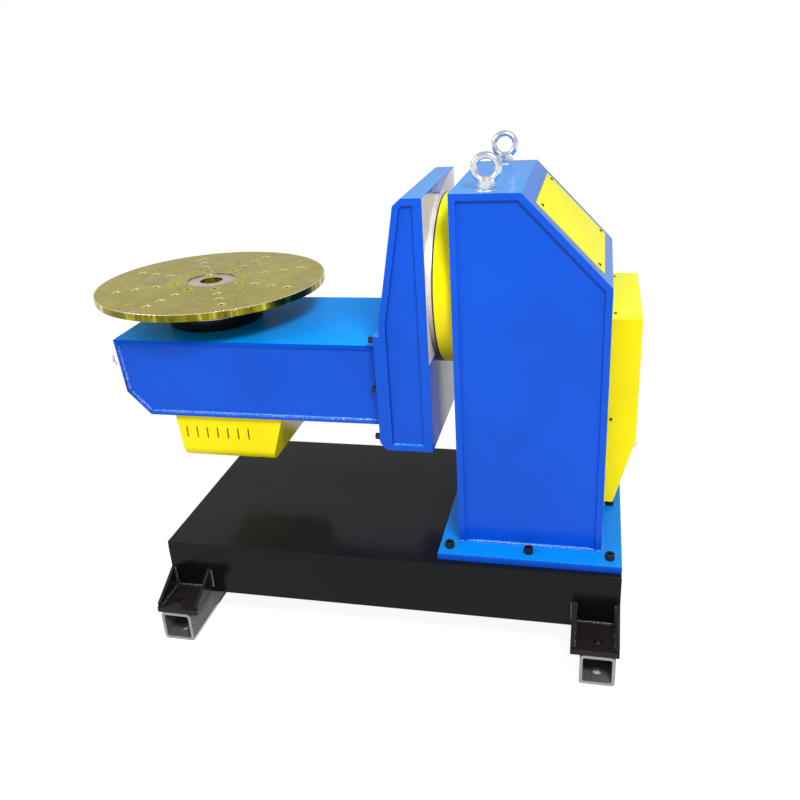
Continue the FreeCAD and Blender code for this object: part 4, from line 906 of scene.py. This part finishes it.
def lay_floor(colour):
    """Large pale floor that goes on past the view and keeps the machine's shadow.

    It glows a little, so that it meets the white room without a seam, but not under the plinth or the tubes.
    """
    def build(work):
        work.faces.new([work.verts.new((x * FLOOR_REACH, y * FLOOR_REACH, 0))
                        for x, y in ((-1, -1), (1, -1), (1, 1), (-1, 1))])
    mesh = mesh_from("floor", build)
    floor = bpy.data.objects.new("floor", mesh)
    bpy.context.scene.collection.objects.link(floor)
    material, tree, out = tree_of("pale_floor")
    at = place(tree)
    grain = noise(tree, at, 30, 4, 0.6)
    base = ramp(tree, grain, [(0.3, tint(colour, 0.985)), (0.7, colour)])
    lit = add(tree, "ShaderNodeBsdfDiffuse", {"Color": base})
    glow = add(tree, "ShaderNodeEmission", {"Color": (1, 1, 1, 1), "Strength": FLOOR_GLOW})
    path = add(tree, "ShaderNodeLightPath")
    seen = arithmetic(tree, "MAXIMUM", path.outputs["Is Camera Ray"], path.outputs["Is Glossy Ray"])
    seen = arithmetic(tree, "MAXIMUM", seen, path.outputs["Is Transmission Ray"])
    share = arithmetic(tree, "MULTIPLY", seen, FLOOR_GLOW_SHARE)
    apart = add(tree, "ShaderNodeSeparateXYZ", {"Vector": at})
    across, deep = (arithmetic(tree, "ABSOLUTE", apart.outputs[name]) for name in ("X", "Y"))
    tube_low, tube_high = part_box("fork_tubes")
    wall_low, wall_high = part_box("base_side_plates")
    hidden = arithmetic(tree, "MULTIPLY", arithmetic(tree, "LESS_THAN", across, tube_high.x),
                        arithmetic(tree, "LESS_THAN", deep, wall_high.y - 0.16))
    tube_side = arithmetic(tree, "GREATER_THAN", across, tube_high.x - (tube_high.z - tube_low.z))
    below = arithmetic(tree, "MULTIPLY", tube_side, arithmetic(tree, "LESS_THAN", deep, tube_high.y))
    below = arithmetic(tree, "MULTIPLY", below, arithmetic(tree, "LESS_THAN", across, tube_high.x))
    hidden = arithmetic(tree, "MAXIMUM", hidden, below)
    share = arithmetic(tree, "MULTIPLY", share, arithmetic(tree, "SUBTRACT", 1.0, hidden))
    mixed = add(tree, "ShaderNodeMixShader", {0: share, 1: lit.outputs[0], 2: glow.outputs[0]})
    tree.links.new(mixed.outputs[0], out.inputs["Surface"])
    mesh.materials.append(material)


def light_room(strength):
    """Even white light from all round, seen as plain white."""
    world = bpy.data.worlds.new("room")
    bpy.context.scene.world = world
    world.use_nodes = True
    tree = world.node_tree
    tree.nodes.clear()
    out = tree.nodes.new("ShaderNodeOutputWorld")
    path = add(tree, "ShaderNodeLightPath")
    seen = arithmetic(tree, "MAXIMUM", path.outputs["Is Camera Ray"], path.outputs["Is Transmission Ray"])
    power = grade(tree, seen, 0.0, 1.0, strength, 1.0)
    glow = add(tree, "ShaderNodeBackground", {"Color": (1, 1, 1, 1), "Strength": power})
    tree.links.new(glow.outputs[0], out.inputs["Surface"])


def hang_lamp(name, where, target, size, power):
    lamp = bpy.data.lights.new(name, "AREA")
    lamp.shape = "RECTANGLE"
    lamp.size, lamp.size_y = size, size * 0.7
    lamp.energy = power
    holder = bpy.data.objects.new(name, lamp)
    bpy.context.scene.collection.objects.link(holder)
    holder.location = where
    holder.rotation_euler = (target - where).to_track_quat("-Z", "Y").to_euler()


def aim_camera(lens):
    data = bpy.data.cameras.new("camera")
    data.lens = lens
    data.sensor_width = 36.0
    data.clip_end = 200.0
    camera = bpy.data.objects.new("camera", data)
    bpy.context.scene.collection.objects.link(camera)
    camera.location = CAMERA_AT
    camera.rotation_euler = CAMERA_TURN
    bpy.context.scene.camera = camera


STEPS = (POSITIONER_OT_finish, POSITIONER_OT_column_welds, POSITIONER_OT_arm_welds, POSITIONER_OT_foot_welds,
         POSITIONER_OT_seals, POSITIONER_OT_grease_nipples, POSITIONER_OT_stage)


class POSITIONER_PT_panel(bpy.types.Panel):
    """Sizes, colours and steps of the welding positioner"""
    bl_idname = "POSITIONER_PT_panel"
    bl_label = "Welding positioner"
    bl_space_type = "VIEW_3D"
    bl_region_type = "UI"
    bl_category = "Positioner"

    def draw(self, context):
        layout = self.layout
        for group in settings():
            box = layout.box()
            for name in group.__annotations__:
                box.prop(group, name)
        for step in STEPS:
            layout.operator(step.bl_idname)


GROUPS = {"positioner_finishes": POSITIONER_PG_finishes, "positioner_sizes": POSITIONER_PG_sizes,
          "positioner_stage": POSITIONER_PG_stage}


def register():
    for name, group in GROUPS.items():
        bpy.utils.register_class(group)
        setattr(bpy.types.Scene, name, bpy.props.PointerProperty(type=group))
    for cls in STEPS + (POSITIONER_PT_panel,):
        bpy.utils.register_class(cls)


def unregister():
    for cls in reversed(STEPS + (POSITIONER_PT_panel,)):
        bpy.utils.unregister_class(cls)
    for name, group in GROUPS.items():
        delattr(bpy.types.Scene, name)
        bpy.utils.unregister_class(group)


def main():
    """Dresses the frame step by step."""
    register()
    for step in STEPS:
        family, action = step.bl_idname.split(".")
        getattr(getattr(bpy.ops, family), action)()


if __name__ == "__main__":
    main()
